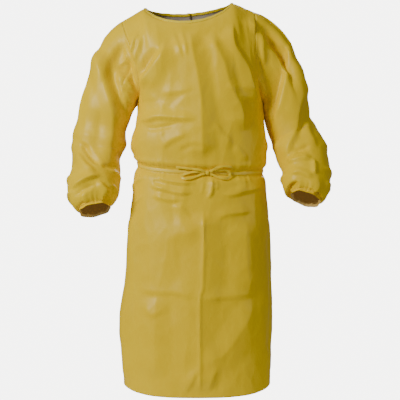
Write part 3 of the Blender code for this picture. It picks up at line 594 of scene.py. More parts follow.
def facets(points, size, seed):
    """Crumpled film: flats of about a size that meet in sharp ridges, 0 in a flat and 1 on a ridge."""
    noise.seed_set(CRUMPLE_SEED)
    made = []
    for place in points.reshape(-1, 3) / size + seed:
        spot = Vector(place) + 0.35 * noise.noise_vector(Vector(place))
        near = noise.voronoi(spot)[0]
        made.append(1 - (near[1] - near[0]))
    return np.array(made).reshape(points.shape[:-1])


def unevenness(points):
    """Heights of crumpled film that no single crease accounts for."""
    stretch = points * np.array([1.0, 1.0, 0.6])
    large = facets(stretch, CRUMPLE_SIZE, 3.7) - 0.6
    return CRUMPLE * large + CRUMPLE_FINE * facets(stretch, CRUMPLE_FINE_SIZE, 11.3)


def wavy(turns, waves):
    """Sum of waves round a sleeve: each has a count, a start and a height."""
    return sum(high * np.cos(count * turns + start) for count, start, high in waves)


# ---------------------------------------------------------------- the body


def lower_rows():
    """Heights of the rows from the hem to the armpit."""
    rows, low = [HEM_Z], HEM_Z
    for high, steps in ROW_STOPS:
        rows.extend(np.linspace(low, high, steps + 1)[1:])
        low = high
    return np.array(rows)


def armhole_shares():
    """Shares of the way up the yoke of its rows, spaced as the CAD solids' rows are."""
    return np.interp(np.linspace(0, 14, YOKE_ROWS + 1)[1:], np.arange(15), YOKE_STOPS)


def belt_shift(u, side):
    """How far the belt lies above BELT_Z: high on the wearer's right, lowest at the knot."""
    right, middle, left = BELT_AT_SEAM["right"], BELT_AT_MIDDLE[side], BELT_AT_SEAM["left"]
    return middle + (left - right) / 2 * u + ((left + right) / 2 - middle) * u * u


def section(u, z, side):
    """Point of the body's section at height z. u runs from side seam to side seam, -1 to 1."""
    sign = -1 if side == "front" else 1
    turn = u * math.pi / 2
    power = 2 / SQUARE
    middle, half, reach = (through(BODY["z"], BODY[name], z) for name in ("middle", "half", side))
    x = middle + half * np.sign(u) * np.abs(np.sin(turn)) ** power
    y = sign * reach * np.abs(np.cos(turn)) ** power
    return np.stack(np.broadcast_arrays(x, y, z), axis=-1)


def top_edge(u, side):
    """The panel's upper edge: shoulder seam, neckline, shoulder seam."""
    sign = -1 if side == "front" else 1
    out = np.clip((np.abs(u) - NECK_SHARE) / (1 - NECK_SHARE), 0, 1)
    turn = np.clip(u / NECK_SHARE, -1, 1) * math.pi / 2
    x = NECK_HALF * np.sin(turn) + np.sign(u) * out * (SHOULDER_HALF - NECK_HALF)
    y = NECK_Y + sign * NECK_REACH[side] * np.cos(turn)
    dip = np.maximum(np.cos(turn), 0) ** NECK_EASE
    drop = np.where(u < 0, SHOULDER_DROP["right"], SHOULDER_DROP["left"])
    z = -NECK_DROP[side] * dip - drop * out + SHOULDER_TILT * x
    return np.stack([x, y, z], axis=-1)


def yoke(u, share, side):
    """Point between the armpit's level (share 0) and the upper edge (share 1)."""
    sign = -1 if side == "front" else 1
    step = 0.02
    chest = section(u, np.full_like(u, ARMPIT_Z), side)
    below = section(u, np.full_like(u, ARMPIT_Z - step), side)
    to_edge = 1 - np.abs(np.cos(u * math.pi / 2)) ** (2 / SQUARE)
    rise = (chest - below) / step * YOKE_RISE
    rise[..., 0] -= np.sign(u) * ARMHOLE_IN * to_edge
    rise[..., 2] -= ARMHOLE_ROUND * to_edge
    rise[..., 1] += sign * ARMHOLE_FORE * to_edge
    over = smooth(np.abs(u) / NECK_SHARE)
    past_neck = smooth((np.abs(u) - NECK_SHARE) / (1 - NECK_SHARE) / SHOULDER_EASE)
    turn = np.clip(u / NECK_SHARE, -1, 1) * math.pi / 2
    inward = -NECK_LEAN * np.sin(turn) * (1 - past_neck)
    level = -sign * (YOKE_FLAT[0] + YOKE_FLAT[1] * over)
    arrive = np.stack([inward, level, YOKE_STEEP[0] - YOKE_STEEP[1] * over], axis=-1)
    return hermite(chest, top_edge(u, side), rise, arrive, share)


def body_grid(columns, side, lower, yoke_shares):
    """Points of a panel, one row of columns for each height; columns may differ from row to row."""
    columns = np.broadcast_to(columns, (len(lower) + len(yoke_shares), np.shape(columns)[-1]))
    below, above = columns[: len(lower)], columns[len(lower) :]
    z = np.broadcast_to(lower[:, None], below.shape)
    near_belt = np.exp(-(((z - BELT_Z) / BELT_SLOPE_REACH) ** 2))
    near_hem = smooth((HEM_Z + HEM_REACH - z) / HEM_REACH) * np.sin(below * math.pi / 2) ** 4
    points = section(below, z, side)
    points[..., 2] += belt_shift(below, side) * near_belt + HEM_SIDE_LIFT * near_hem
    shares = np.broadcast_to(yoke_shares[:, None], above.shape)
    if len(yoke_shares):
        points = np.concatenate([points, eased(yoke(above, shares, side), above, shares)])
    off_belt = np.concatenate([z - BELT_Z, np.full(above.shape, 1.0)])
    yoke_share = np.concatenate([np.zeros(below.shape), shares])
    facing = 1 if side == "front" else -1
    ways = normals(points, facing)
    at_seam = (np.abs(columns) > 0.9999)[..., None]
    ways = np.where(at_seam, np.sign(columns)[..., None] * np.array([1.0, 0, 0]), ways)
    heights = waist_heights(columns, off_belt)
    at_side = smooth((1 - np.abs(columns)) / SEAM_FREE)
    free = at_side + (1 - at_side) * smooth(yoke_share / 0.15)
    free *= smooth((1 - yoke_share) / TOP_FREE) * smooth((np.abs(off_belt) - BELT_HALF) / BELT_FREE)
    heights += free * (crease_heights(points, ways) + unevenness(points))
    heights -= side_seam_dip(points, columns, yoke_share)
    return points + ways * heights[..., None]


def eased(points, columns, shares):
    """The yoke with the line under the shoulder seam's inner end softened, apart from its top edge."""
    near = np.exp(-(((np.abs(columns) - NECK_SHARE) / 0.09) ** 2)) * smooth((1 - shares) / 0.10)
    near = near * smooth(shares / 0.2)
    for _ in range(40):
        between = (points[:, :-2] + points[:, 2:]) / 2
        points[:, 1:-1] += near[:, 1:-1, None] * 0.8 * (between - points[:, 1:-1])
    return points


def waist_heights(columns, off_belt):
    """The belt's groove, the bodice that blouses over it, and the fine gathers on both sides."""
    past = np.maximum(np.abs(off_belt) - BELT_HALF, 0)
    groove = -GROOVE_DEPTH * np.exp(-((past / GROOVE_REACH) ** 2))
    high, up, wide = BLOUSE
    blouse = high * np.exp(-(((off_belt - up) / wide) ** 2))
    fade = np.exp(-np.where(off_belt > 0, past / GATHER_FADE["above"], past / GATHER_FADE["below"]))
    turn = columns * math.pi
    pleats = np.cos(17 * turn + 2 * np.sin(3 * turn)) + 0.8 * np.cos(29 * turn + 3 * np.cos(2 * turn) + 1)
    strength = 0.55 + 0.45 * np.sin(5 * turn + 1.3)
    start = smooth(past / 0.004)
    return groove + blouse + GATHER_RISE * strength * pleats * fade * start


def side_seam_dip(points, columns, yoke_share):
    """The stitched seams lie a little lower than the cloth beside them."""
    side = np.minimum(running(points, 1), running(points[:, ::-1], 1)[:, ::-1])
    outer = np.abs(columns).max(axis=1, keepdims=True) * np.ones_like(columns)
    nearest = np.where(np.abs(columns) > outer / 2, side, 1.0)
    return SEAM_DIP * np.exp(-((nearest / SEAM_REACH) ** 2)) * smooth((1 - yoke_share) / 0.04)


def panel_columns():
    """Shares of the columns, side seam to side seam."""
    shoulder = np.linspace(NECK_SHARE, 1, SHOULDER_COLUMNS + 1)
    steps = np.linspace(-1, 1, NECK_COLUMNS + 1)
    neck = NECK_SHARE * np.sign(steps) * np.abs(steps) ** (SQUARE / 2)
    return np.concatenate([-shoulder[::-1], neck[1:-1], shoulder])


def back_columns(levels):
    """Shares of the wearer's right back panel's columns, from its side seam past the middle."""
    shoulder = -np.linspace(1, NECK_SHARE, SHOULDER_COLUMNS + 1)
    edge = LAP_SHARE - (LAP_SHARE + NECK_SLIT_SHARE) * smooth((levels - 0.35) / 0.65)
    steps = np.linspace(0, 1, NECK_COLUMNS // 2 + 6)[1:]
    middle = -NECK_SHARE + steps * (edge[:, None] + NECK_SHARE)
    return np.concatenate([np.broadcast_to(shoulder, (len(levels), len(shoulder))), middle], axis=1)


def lap_out(grid, columns):
    """The wearer's left back panel, moved out where it covers the other one."""
    away = smooth((np.abs(columns) - LAP_SHARE - 0.06) / 0.25)
    return grid + normals(grid, -1) * (LAP_OUT * (1 - away))[..., None]


# ---------------------------------------------------------------- the sleeves


def sleeve_frames(wearer_side, rows):
    """Middles, axes and sizes of a sleeve's rows, from its first section to the cuff."""
    sections = SLEEVES[wearer_side]
    knots = np.arange(len(sections["x"]), dtype=float)
    at = np.linspace(0, knots[-1], rows + 1)
    middles = np.stack([through(knots, sections[axis], at) for axis in "xyz"], axis=-1)
    along = unit(np.gradient(middles, axis=0))
    inward = 1.0 if wearer_side == "right" else -1.0
    fore = unit(np.array([0, -1.0, 0]) + along * along[:, 1:2])
    inner = np.cross(fore, along)
    inner *= np.sign(inner[:, :1]) * inward
    sizes = [through(knots, sections[name], at) for name in ("half", "deep")]
    return middles, along, inner, fore, sizes


def ring(middle, inner, fore, half, deep, angles):
    """A sleeve's section: angle 0 is the underarm seam, a quarter turn is the front."""
    power = 2 / SLEEVE_SQUARE
    cos, sin = np.cos(angles), np.sin(angles)
    across = half * np.sign(cos) * np.abs(cos) ** power
    ahead = deep * np.sign(sin) * np.abs(sin) ** power
    return middle + across[:, None] * inner + ahead[:, None] * fore


def sleeve_grid(wearer_side, armhole, edge_ways):
    """Points of a sleeve: rows from the armhole to the cuff, columns once round from the underarm.

    Over the shoulder it leaves the armhole along edge_ways, the ways in which the panels end there.
    """
    angles = np.linspace(0, 2 * math.pi, len(armhole))
    middles, along, inner, fore, (half, deep) = sleeve_frames(wearer_side, SLEEVE_ROWS)
    rings = [ring(*row, angles) for row in zip(middles, inner, fore, half, deep)]
    out = -1.0 if wearer_side == "right" else 1.0
    span = np.linalg.norm(rings[0] - armhole, axis=1)[:, None] * CAP_FULL[wearer_side]
    over = smooth((armhole[:, 2:] - ARMPIT_Z) / CAP_BLEND)
    leave = unit(unit(np.array([out, 0, -CAP_SLOPE])) * (1 - over) + edge_ways * over) * span
    shares = np.broadcast_to(np.arange(CAP_ROWS)[:, None] / CAP_ROWS, (CAP_ROWS, len(armhole)))
    cap = hermite(armhole, rings[0], leave, along[0] * span, shares)
    points = np.concatenate([cap, np.array(rings)])
    share = np.concatenate([shares[:, 0] * CAP_PART, np.linspace(CAP_PART, 1, SLEEVE_ROWS + 1)])[:, None]
    ways = normals(points, SLEEVE_FACING[wearer_side], wraps=True)
    down = running(points, 0)
    turns = PUCKERS * angles + 3 * np.sin(4 * angles)
    puckers = PUCKER * np.exp(-down / PUCKER_REACH) * smooth(down / 0.004) * np.cos(turns)
    gathered = smooth((share - GATHERS_FROM) / (1 - GATHERS_FROM))
    gathers = GATHER_DEEP * gathered * np.cos(SLEEVE_GATHERS * angles)
    finely = smooth((share - FINE_GATHERS_FROM) / (1 - FINE_GATHERS_FROM))
    gathers = gathers + finely * wavy(angles, GATHERS)
    free = smooth(down / 0.03) * smooth((1 - share) / 0.03)
    heights = free * (crease_heights(points, ways) + unevenness(points)) + puckers + gathers
    heights -= SEAM_DIP * np.exp(-((down / SEAM_REACH) ** 2)) * (down > 0)
    points = points + ways * heights[..., None]
    points[:, -1] = points[:, 0]
    return points


def with_midpoints(line):
    """The points of a line with the middle of each stretch between them."""
    doubled = np.empty((2 * len(line) - 1, 3))
    doubled[::2] = line
    doubled[1::2] = (line[1:] + line[:-1]) / 2
    return doubled


def cuff_grid(wearer_side, sleeve_end):
    """Points of the elastic hem that goes on from a sleeve's last row: pinched, then a small frill."""
    middles, along, inner, fore, (half, deep) = sleeve_frames(wearer_side, SLEEVE_ROWS)
    first = with_midpoints(sleeve_end)
    angles = np.linspace(0, 2 * math.pi, len(first))
    rows = [first]
    for share in np.arange(1, CUFF_ROWS + 1) / CUFF_ROWS:
        wave = GATHER_DEEP * np.cos(SLEEVE_GATHERS * angles) + wavy(angles, GATHERS) * (1 - 0.8 * share)
        wave = wave * (1 - 0.45 * share)
        draw = -CUFF_DRAW[0] * math.sin(math.pi * share) - CUFF_DRAW[1] * math.sin(2 * math.pi * share)
        uneven = 1 + CUFF_UNEVEN * np.cos(3 * angles + 0.8)
        middle = middles[-1] + along[-1] * CUFF_LENGTH * share
        flat = ring(middle, inner[-1], fore[-1], half[-1] + draw, deep[-1] + draw, angles)
        frill = along[-1] * (CUFF_LENGTH * share * (uneven - 1))[:, None]
        rows.append(flat + unit(flat - middle) * wave[:, None] + frill)
    grid = np.array(rows)
    grid[:, -1] = grid[:, 0]
    return grid


# ---------------------------------------------------------------- the gown's form


@functools.cache
def form():
    """Grids of the panels, sleeves and cuffs, by name, and the ways out of the cloth at their points."""
    rows, shares = lower_rows(), armhole_shares()
    levels = np.concatenate([np.zeros(len(rows)), shares])
    columns, right = panel_columns(), back_columns(levels)
    left = -right[:, ::-1]
    grids = {
        "front": body_grid(columns, "front", rows, shares),
        "back_right": body_grid(right, "back", rows, shares),
        "back_left": lap_out(body_grid(left, "back", rows, shares), left),
    }
    armpit = len(rows) - 1
    facings = {"front": 1, "back_right": -1, "back_left": -1}
    ways = {name: normals(grid, facings[name]) for name, grid in grids.items()}
    for wearer_side, column in (("right", 0), ("left", -1)):
        front, back = grids["front"][armpit:], grids["back_" + wearer_side][armpit:]
        beside = 4 if column == 0 else -5
        armhole = np.concatenate([front[:, column], back[-2::-1, column]])
        edge_ways = unit(armhole - np.concatenate([front[:, beside], back[-2::-1, beside]]))
        sleeve = sleeve_grid(wearer_side, armhole, edge_ways)
        cuff = cuff_grid(wearer_side, sleeve[-1])
        for name, grid in (("sleeve_", sleeve), ("cuff_", cuff)):
            grids[name + wearer_side] = grid
            ways[name + wearer_side] = normals(grid, SLEEVE_FACING[wearer_side], wraps=True)
    return grids, ways


def seam_map(points, edges):
    """For each point, how far it is from the nearest stitched edge, and how far along that edge."""
    across, down = running(points, 1), running(points, 0)
    apart = {
        "first": (across, down),
        "last": (across[:, -1:] - across, down),
        "bottom": (down, across),
        "top": (down[-1:] - down, across),
    }
    best = np.full(points.shape[:2], 1.0), np.zeros(points.shape[:2])
    for edge in edges:
        far, run = apart[edge]
        best = np.where(far < best[0], far, best[0]), np.where(far < best[0], run, best[1])
    return np.stack(best, axis=-1)


# ---------------------------------------------------------------- meshes


def grid_mesh(points, outward, cut, closed=False, capped=False):
    """A bmesh of a grid laid on points, with the cut's map, facing the outward ways."""
    rows, columns = points.shape[:2]
    bm = bmesh.new()
    bmesh.ops.create_grid(bm, x_segments=columns - 1, y_segments=rows - 1, size=1.0)
    chart = bm.loops.layers.uv.new("cut")
    places, charted = points.reshape(-1, 3), cut.reshape(-1, 2)
    for vertex, place, spot in zip(bm.verts, places, charted):
        vertex.co = place
        for loop in vertex.link_loops:
            loop[chart].uv = spot
    crossed = np.cross(np.gradient(points, axis=1), np.gradient(points, axis=0))
    if (crossed * outward).sum() < 0:
        bmesh.ops.reverse_faces(bm, faces=bm.faces[:])
    if closed:
        bmesh.ops.remove_doubles(bm, verts=bm.verts[:], dist=1e-6)
    if capped:
        open_edges = [edge for edge in bm.edges if edge.is_boundary]
        bmesh.ops.holes_fill(bm, edges=open_edges, sides=0)
    return bm


def piece(name, bm, finishes, stands_for, sharp=40):
    """An object of the gown that stands for a CAD node."""
    mesh = bpy.data.meshes.new(name)
    bm.to_mesh(mesh)
    bm.free()
    for finish in finishes:
        mesh.materials.append(finish)
    mesh.shade_smooth()
    mesh.set_sharp_from_angle(angle=math.radians(sharp))
    made = bpy.data.objects.new(name, mesh)
    bpy.context.scene.collection.objects.link(made)
    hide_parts(*stands_for)
    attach(made, "root")
    return made


def film_sheet(name, edges, closed=False):
    """A cut piece of film with its real thickness inside, in the two finishes of its faces."""
    inner = sleeve_inside_painted_light() if closed else body_inside()
    grids, ways = form()
    sizes = bpy.context.scene.gown_sizes
    bm = grid_mesh(grids[name], ways[name], seam_map(grids[name], edges), closed=closed)
    made = piece("gown_" + name, bm, (film(), inner), (name,))
    add_thickness(made, sizes.film_thickness)
    return made


def add_thickness(made, thick):
    wall = made.modifiers.new("thickness", "SOLIDIFY")
    wall.thickness = thick
    wall.offset = -1.0
    wall.use_even_offset = False
    wall.material_offset = 1 if len(made.data.materials) > 1 else 0
    wall.material_offset_rim = 0


def tape_bmesh(line, wide_way, out_way, wide, thick, roll=0.0):
    """A soft folded tape along a line, with rounded edges and the mark of its fold."""
    line, wide_way, out_way = (np.array(v, float) for v in (line, unit(wide_way), unit(out_way)))
    angles = np.linspace(0, 2 * math.pi, TAPE_CORNERS + 1)
    cos, sin = np.cos(angles), np.sin(angles)
    across = wide / 2 * np.sign(cos) * np.abs(cos) ** (2 / TAPE_SQUARE)
    high = thick / 2 * np.sign(sin) * np.abs(sin) ** (2 / TAPE_SQUARE)
    high -= FOLD_MARK * np.exp(-(((across / wide - 0.2) / 0.06) ** 2)) * (sin > 0)
    run = running(line[:, None], 0)[:, 0]
    uneven = 1 + 0.07 * np.sin(run * 210 + 1) + 0.05 * np.sin(run * 517)
    turn = np.broadcast_to(roll, run.shape)[:, None]
    wide_turned = wide_way * np.cos(turn) + out_way * np.sin(turn)
    out_turned = out_way * np.cos(turn) - wide_way * np.sin(turn)
    middle = line + out_way * thick / 2
    points = (
        middle[:, None]
        + wide_turned[:, None] * (across * np.ones_like(uneven)[:, None] * uneven[:, None])[..., None]
        + out_turned[:, None] * high[None, :, None]
    )
    points[:, -1] = points[:, 0]
    outward = points - middle[:, None]
    cut = np.stack(np.broadcast_arrays(wide / 2 - np.abs(across)[None], run[:, None]), axis=-1)
    return grid_mesh(points, outward, cut, closed=True, capped=True)


def add_stitches(bm, line, way, out, pitch, length, radius):
    """A row of small raised stitches along a line, on its outer side."""
    run = running(line[:, None], 0)[:, 0]
    count = int(run[-1] / pitch)
    for k in range(count):
        at = (k + 0.5) * run[-1] / count
        place, along, up = (
            np.array([np.interp(at, run, part[:, j]) for j in range(3)]) for part in (line, way, out)
        )
        along, up = unit(along), unit(up)
        beside = np.cross(up, along)
        turn = Matrix(np.column_stack([along * length / 2, beside * radius, up * radius * 0.8]).tolist())
        bmesh.ops.create_icosphere(
            bm, subdivisions=1, radius=1.0, matrix=Matrix.Translation(Vector(place)) @ turn.to_4x4()
        )


def knot_bmesh(centre, out, half):
    """A pulled-tight knot: a rounded block with the turns of the tape pressed into it."""
    bm = bmesh.new()
    bmesh.ops.create_uvsphere(bm, u_segments=40, v_segments=24, radius=1.0)
    along = unit(np.cross(out, [0, 0, 1.0]))
    up = unit(np.cross(along, out))
    for vertex in bm.verts:
        ball = np.array(vertex.co)
        block = np.sign(ball) * np.abs(ball) ** 0.70
        turns = 1 - 0.10 * abs(math.sin(2.4 * ball[0] + 1.9 * ball[2] + 0.5)) ** 4
        turns -= 0.06 * abs(math.sin(5.2 * ball[2] - 2.6 * ball[0] + 1.1)) ** 6
        place = (along * block[0] * half[0] + out * block[1] * half[1] + up * block[2] * half[2]) * turns
        vertex.co = centre + place
    bmesh.ops.recalc_face_normals(bm, faces=bm.faces[:])
    return bm


# ---------------------------------------------------------------- lines that the trims follow


@functools.cache
def belt_groove(side):
    """Middle line of the belt's groove on a panel, with the ways out of it and up."""
    rows = BELT_Z + BELT_HALF * np.array([-1, -0.5, 0, 0.5, 1])
    levels = np.zeros(len(rows))
    none = np.zeros(0)
    if side == "front":
        grid, facing = body_grid(panel_columns(), "front", rows, none), 1
    else:
        right = back_columns(levels)
        grid, facing = body_grid(right, "back", rows, none), -1
        if side == "left":
            left = -right[:, ::-1]
            grid = lap_out(body_grid(left, "back", rows, none), left)
    ways = normals(grid, facing)
    return np.stack([grid[2], unit(ways[2]), unit(grid[3] - grid[1])])


def knot_place():
    """Point of the groove under the bow's knot, with the ways out and up."""
    columns = panel_columns()
    return [
        np.array([np.interp(KNOT_SHARE, columns, way[:, k]) for k in range(3)])
        for way in belt_groove("front")
    ]


def belt_run():
    """The belt's line from the knot round the back, across the lap, to the knot again."""
    front, right, left = (belt_groove(side) for side in ("front", "right", "left"))
    knot = knot_place()[0][0]
    reach = KNOT_HALF[0] * 0.8
    uncovered = back_columns(np.zeros(1))[0] < -LAP_SHARE - 0.02
    before = front[:, front[0, :, 0] < knot - reach]
    after = front[:, front[0, :, 0] > knot + reach]
    parts = (before[:, ::-1], right[:, uncovered][:, 1:], left, after[:, -2::-1])
    run = np.concatenate(parts, axis=1)
    for _ in range(3):  # evens out the step where the belt climbs on to the lap
        run[:, 1:-1] = (run[:, :-2] + 2 * run[:, 1:-1] + run[:, 2:]) / 4
    return run


def neck_line():
    """Upper edge of the cloth round the neck, slit to slit, with the ways out of it and up past it."""
    grids, ways = form()
    shoulder = SHOULDER_COLUMNS
    runs = (
        ("back_right", slice(None, shoulder - 1, -1)),
        ("front", slice(shoulder + 1, -shoulder)),
        ("back_left", slice(-shoulder - 2, None, -1)),
    )
    edge = np.concatenate([grids[name][-1, span] for name, span in runs])
    out = np.concatenate([ways[name][-1, span] for name, span in runs])
    for _ in range(6):
        out[1:-1] = unit(out[:-2] + 2 * out[1:-1] + out[2:])
    tangent = unit(np.gradient(edge, axis=0))
    up = unit(np.cross(out, tangent))
    return edge, unit(np.cross(tangent, up)), up


def surface_y(grid, side):
    """Function that gives the outer surface's y at an x and z."""
    rows, columns = grid.shape[:2]
    corner = np.arange(rows * columns).reshape(rows, columns)
    quads = np.stack([corner[:-1, :-1], corner[:-1, 1:], corner[1:, 1:], corner[1:, :-1]], axis=-1)
    tree = BVHTree.FromPolygons(grid.reshape(-1, 3).tolist(), quads.reshape(-1, 4).tolist())
    towards = 1.0 if side == "front" else -1.0
    return lambda x, z: tree.ray_cast((x, -towards, z), (0, towards, 0))[0].y


def hanging_tape(route, start, surface, side, wide, thick):
    """A flat tape whose points stand off the cloth, with its width turned along the cloth."""
    knots = np.arange(len(route["x"]), dtype=float)
    at = np.linspace(0, knots[-1], 9 * (len(knots) - 1) + 1)
    x, z, off = (through(knots, route[column], at) for column in ("x", "z", "off"))
    x, z = x + start[0], z + start[2]
    out = -1.0 if side == "front" else 1.0
    under = np.array([surface(*place) for place in zip(x, z)])
    for _ in range(8):
        under[1:-1] = (under[:-2] + 2 * under[1:-1] + under[2:]) / 4
    line = np.stack([x, under + out * off, z], axis=-1)
    outward = np.broadcast_to(np.array([0, out, 0]), line.shape)
    wide_way = unit(np.cross(outward, np.gradient(line, axis=0)))
    share = np.linspace(0, 1, len(line))
    roll = 0.34 * np.sin(5.5 * share + 7 * start[0]) * np.sin(math.pi * share)
    return tape_bmesh(line, wide_way, outward, wide, thick, roll)


# ---------------------------------------------------------------- finishes

MIX_FIRST, MIX_SECOND, MIX_COLOUR = 6, 7, 2  # a colour Mix node's sockets


def tint(name):
    """One of the colours that a user may change."""
    return tuple(getattr(bpy.context.scene.gown_colours, name))


class Number:
    """A value that changes over a surface: an expression on values adds its Math nodes."""

    def __init__(self, finish, socket):
        self.finish, self.socket = finish, socket

    def maths(self, operation, *values):
        return self.finish.node("ShaderNodeMath", {"operation": operation}, dict(enumerate(values)))

    def __add__(self, other):
        return self.maths("ADD", self, other)

    def __sub__(self, other):
        return self.maths("SUBTRACT", self, other)

    def __rsub__(self, other):
        return self.maths("SUBTRACT", other, self)

    def __mul__(self, other):
        return self.maths("MULTIPLY", self, other)

    def __truediv__(self, other):
        return self.maths("DIVIDE", self, other)

    def __abs__(self):
        return self.maths("ABSOLUTE", self)

    def held(self):
        """The value kept between 0 and 1."""
        return self.maths("MINIMUM", self.maths("MAXIMUM", self, 0.0), 1.0)

    def part_of(self, whole):
        """What is left over after whole steps, as a share of a step."""
        return self.maths("FRACT", self / whole)

    __radd__ = __add__
    __rmul__ = __mul__


class Finish:
    """The nodes of one material."""

    def __init__(self, name, roughness, **uniform):
        self.material = bpy.data.materials.new(name)
        self.material.use_nodes = True
        self.tree = self.material.node_tree
        self.shader = self.tree.nodes["Principled BSDF"]
        self.shader.inputs["Roughness"].default_value = roughness
        for socket, value in uniform.items():
            self.shader.inputs[socket.replace("_", " ")].default_value = value
        self.place = self.node("ShaderNodeTexCoord", output="Object").socket

    def node(self, kind, settings=None, sockets=None, output=0):
        """A node: its settings first, then the values or links of its sockets. Gives its output."""
        made = self.tree.nodes.new(kind)
        for name, value in (settings or {}).items():
            if name == "stops":
                for stop, (position, colour) in zip(ramp_stops(made, len(value)), value):
                    stop.position, stop.color = position, colour
            else:
                setattr(made, name, value)
        for key, value in (sockets or {}).items():
            self.set(made.inputs[key], value)
        return Number(self, made.outputs[output])

    def set(self, socket, value):
        if isinstance(value, Number):
            value = value.socket
        if isinstance(value, bpy.types.NodeSocket):
            self.tree.links.new(value, socket)
        else:
            socket.default_value = value

    def noise(self, scale, detail=2.0, stretch=(1, 1, 1), rough=0.5, twist=0.0):
        """Soft noise, 0 to 1, with its grains stretched along an axis by a smaller number."""
        sockets = {"Vector": self.place, "Scale": stretch}
        spot = self.node("ShaderNodeMapping", None, sockets).socket
        grain = {"Vector": spot, "Scale": scale, "Detail": detail, "Roughness": rough, "Distortion": twist}
        return self.node("ShaderNodeTexNoise", None, grain)

    def facets(self, scale, edge):
        """1 on the lines between the flats of crumpled film, and 0 away from them."""
        drift = {"Vector": self.place, "Scale": scale * 0.6}
        wander = self.node("ShaderNodeTexNoise", None, drift, output=1)
        settings = {"operation": "MULTIPLY_ADD"}
        spot = self.node(
            "ShaderNodeVectorMath", settings, {0: wander, 1: (0.5 / scale,) * 3, 2: self.place}
        )
        cells = self.node(
            "ShaderNodeTexVoronoi", {"feature": "DISTANCE_TO_EDGE"}, {"Vector": spot, "Scale": scale}
        )
        return (1 - cells / edge).held()

    def mixed(self, share, first, second):
        """A colour between two, each a link or four numbers."""
        sockets = {0: share, MIX_FIRST: first, MIX_SECOND: second}
        return self.node("ShaderNodeMix", {"data_type": "RGBA"}, sockets, output=MIX_COLOUR)

    def stitches(self):
        """1 on the stitches that run beside a seam, from the map of the cut."""
        sizes = bpy.context.scene.gown_sizes
        chart = self.node("ShaderNodeUVMap", {"uv_map": "cut"})
        apart = self.node("ShaderNodeSeparateXYZ", None, {0: chart}, output=0)
        along = self.node("ShaderNodeSeparateXYZ", None, {0: chart}, output=1)
        row = (1 - abs(apart - sizes.stitch_inset) / sizes.stitch_width).held()
        dash = (1 - abs(along.part_of(sizes.stitch_pitch) - 0.5) / 0.36).held()
        return (row * dash * 3).held()

    def relief(self, height_mm, strength=1.0):
        """Bump from a height in millimetres."""
        bump = {"Strength": strength, "Distance": 0.001, "Height": height_mm}
        self.set(self.shader.inputs["Normal"], self.node("ShaderNodeBump", None, bump))


def ramp_stops(node, count):
    stops = node.color_ramp.elements
    while len(stops) < count:
        stops.new(0.5)
    return stops


@functools.cache
def film():
    """Glossy yellow film on a nonwoven: crumpled flats, faint emboss, stitched seams."""
    finish = Finish(
        "yellow_film_laminate", 0.50, Coat_Weight=0.27, Coat_Roughness=0.35, Specular_IOR_Level=0.16
    )
    broad = finish.noise(4.5, 3.0)
    cloudy = finish.noise(17.0, 4.0, twist=0.4)
    folds = finish.facets(26.0, 0.09)
    small = finish.facets(70.0, 0.10)
    grain = finish.noise(620.0, 2.0, stretch=(1, 1, 0.35))
    tone = ((broad - 0.5) * 1.1 + (cloudy - 0.5) * 0.7 + 0.5).held()
    colour = finish.mixed(tone, tint("film_deep"), tint("film"))
    colour = finish.mixed(folds * 0.12, colour, tint("film_crease"))
    stitch = finish.stitches()
    colour = finish.mixed(stitch * 0.8, colour, tint("thread"))
    finish.set(finish.shader.inputs["Base Color"], colour)
    rough = 0.44 + cloudy * 0.14 + grain * 0.05 + stitch * 0.2
    finish.set(finish.shader.inputs["Roughness"], rough)
    height = cloudy * 0.5 + broad * 0.8 + folds * 0.16 + small * 0.05 + grain * 0.03 + stitch * 0.25
    finish.relief(height, 0.8)
    return finish.material


@functools.cache
def body_inside():
    """The film's inner side where little light comes through it."""
    return film_inside("nonwoven_inside", tint("inside"), tint("inside_deep"), 0.0)


@functools.cache
def sleeve_inside_painted_light():
    """The film's inner side in a sleeve, with painted light: a warmer colour and a faint glow stand for the
    light that comes through the film.
    """
    light, deep = tint("sleeve_inside_painted_light"), tint("sleeve_inside_painted_light_deep")
    return film_inside("nonwoven_inside_lit", light, deep, PAINTED_THROUGH_GLOW)


def film_inside(name, light, deep, glow):
    """The nonwoven side of the film, with a painted glow (emission) that stands for the light coming
    through.
    """
    finish = Finish(name, 0.72, Emission_Color=light, Emission_Strength=glow)
    broad = finish.noise(9.0, 3.0)
    fibres = finish.noise(420.0, 3.0, stretch=(1, 1, 0.25), rough=0.65)
    bonds = finish.facets(210.0, 0.16)
    colour = finish.mixed((broad * 0.8 + fibres * 0.35 - 0.1).held(), deep, light)
    finish.set(finish.shader.inputs["Base Color"], colour)
    finish.set(finish.shader.inputs["Roughness"], 0.64 + fibres * 0.18)
    finish.relief(broad * 1.0 + fibres * 0.10 - bonds * 0.08, 0.7)
    return finish.material


def tape_finish(name, light, deep, roughness, rib):
    """A folded strip of the same film: a little brighter, with fine ribs and its stitches."""
    finish = Finish(name, roughness, Coat_Weight=0.12, Coat_Roughness=0.3)
    cloudy = finish.noise(60.0, 4.0, twist=0.5)
    ribs = finish.noise(rib, 2.0, stretch=(1, 1, 0.3))
    stitch = finish.stitches()
    tone = (cloudy * 1.3 - 0.15).held()
    colour = finish.mixed(tone, deep, light)
    colour = finish.mixed(stitch * 0.7, colour, tint("thread"))
    finish.set(finish.shader.inputs["Base Color"], colour)
    finish.set(finish.shader.inputs["Roughness"], roughness - 0.06 + cloudy * 0.12 + ribs * 0.06)
    finish.relief(cloudy * 0.6 + ribs * 0.08 + stitch * 0.2, 0.8)
    return finish.material


@functools.cache
def binding_finish():
    return tape_finish("binding_strip", tint("binding"), tint("film"), 0.42, 480.0)


@functools.cache
def tie_finish():
    return tape_finish("tie_strip", tint("tie"), tint("film_deep"), 0.40, 540.0)


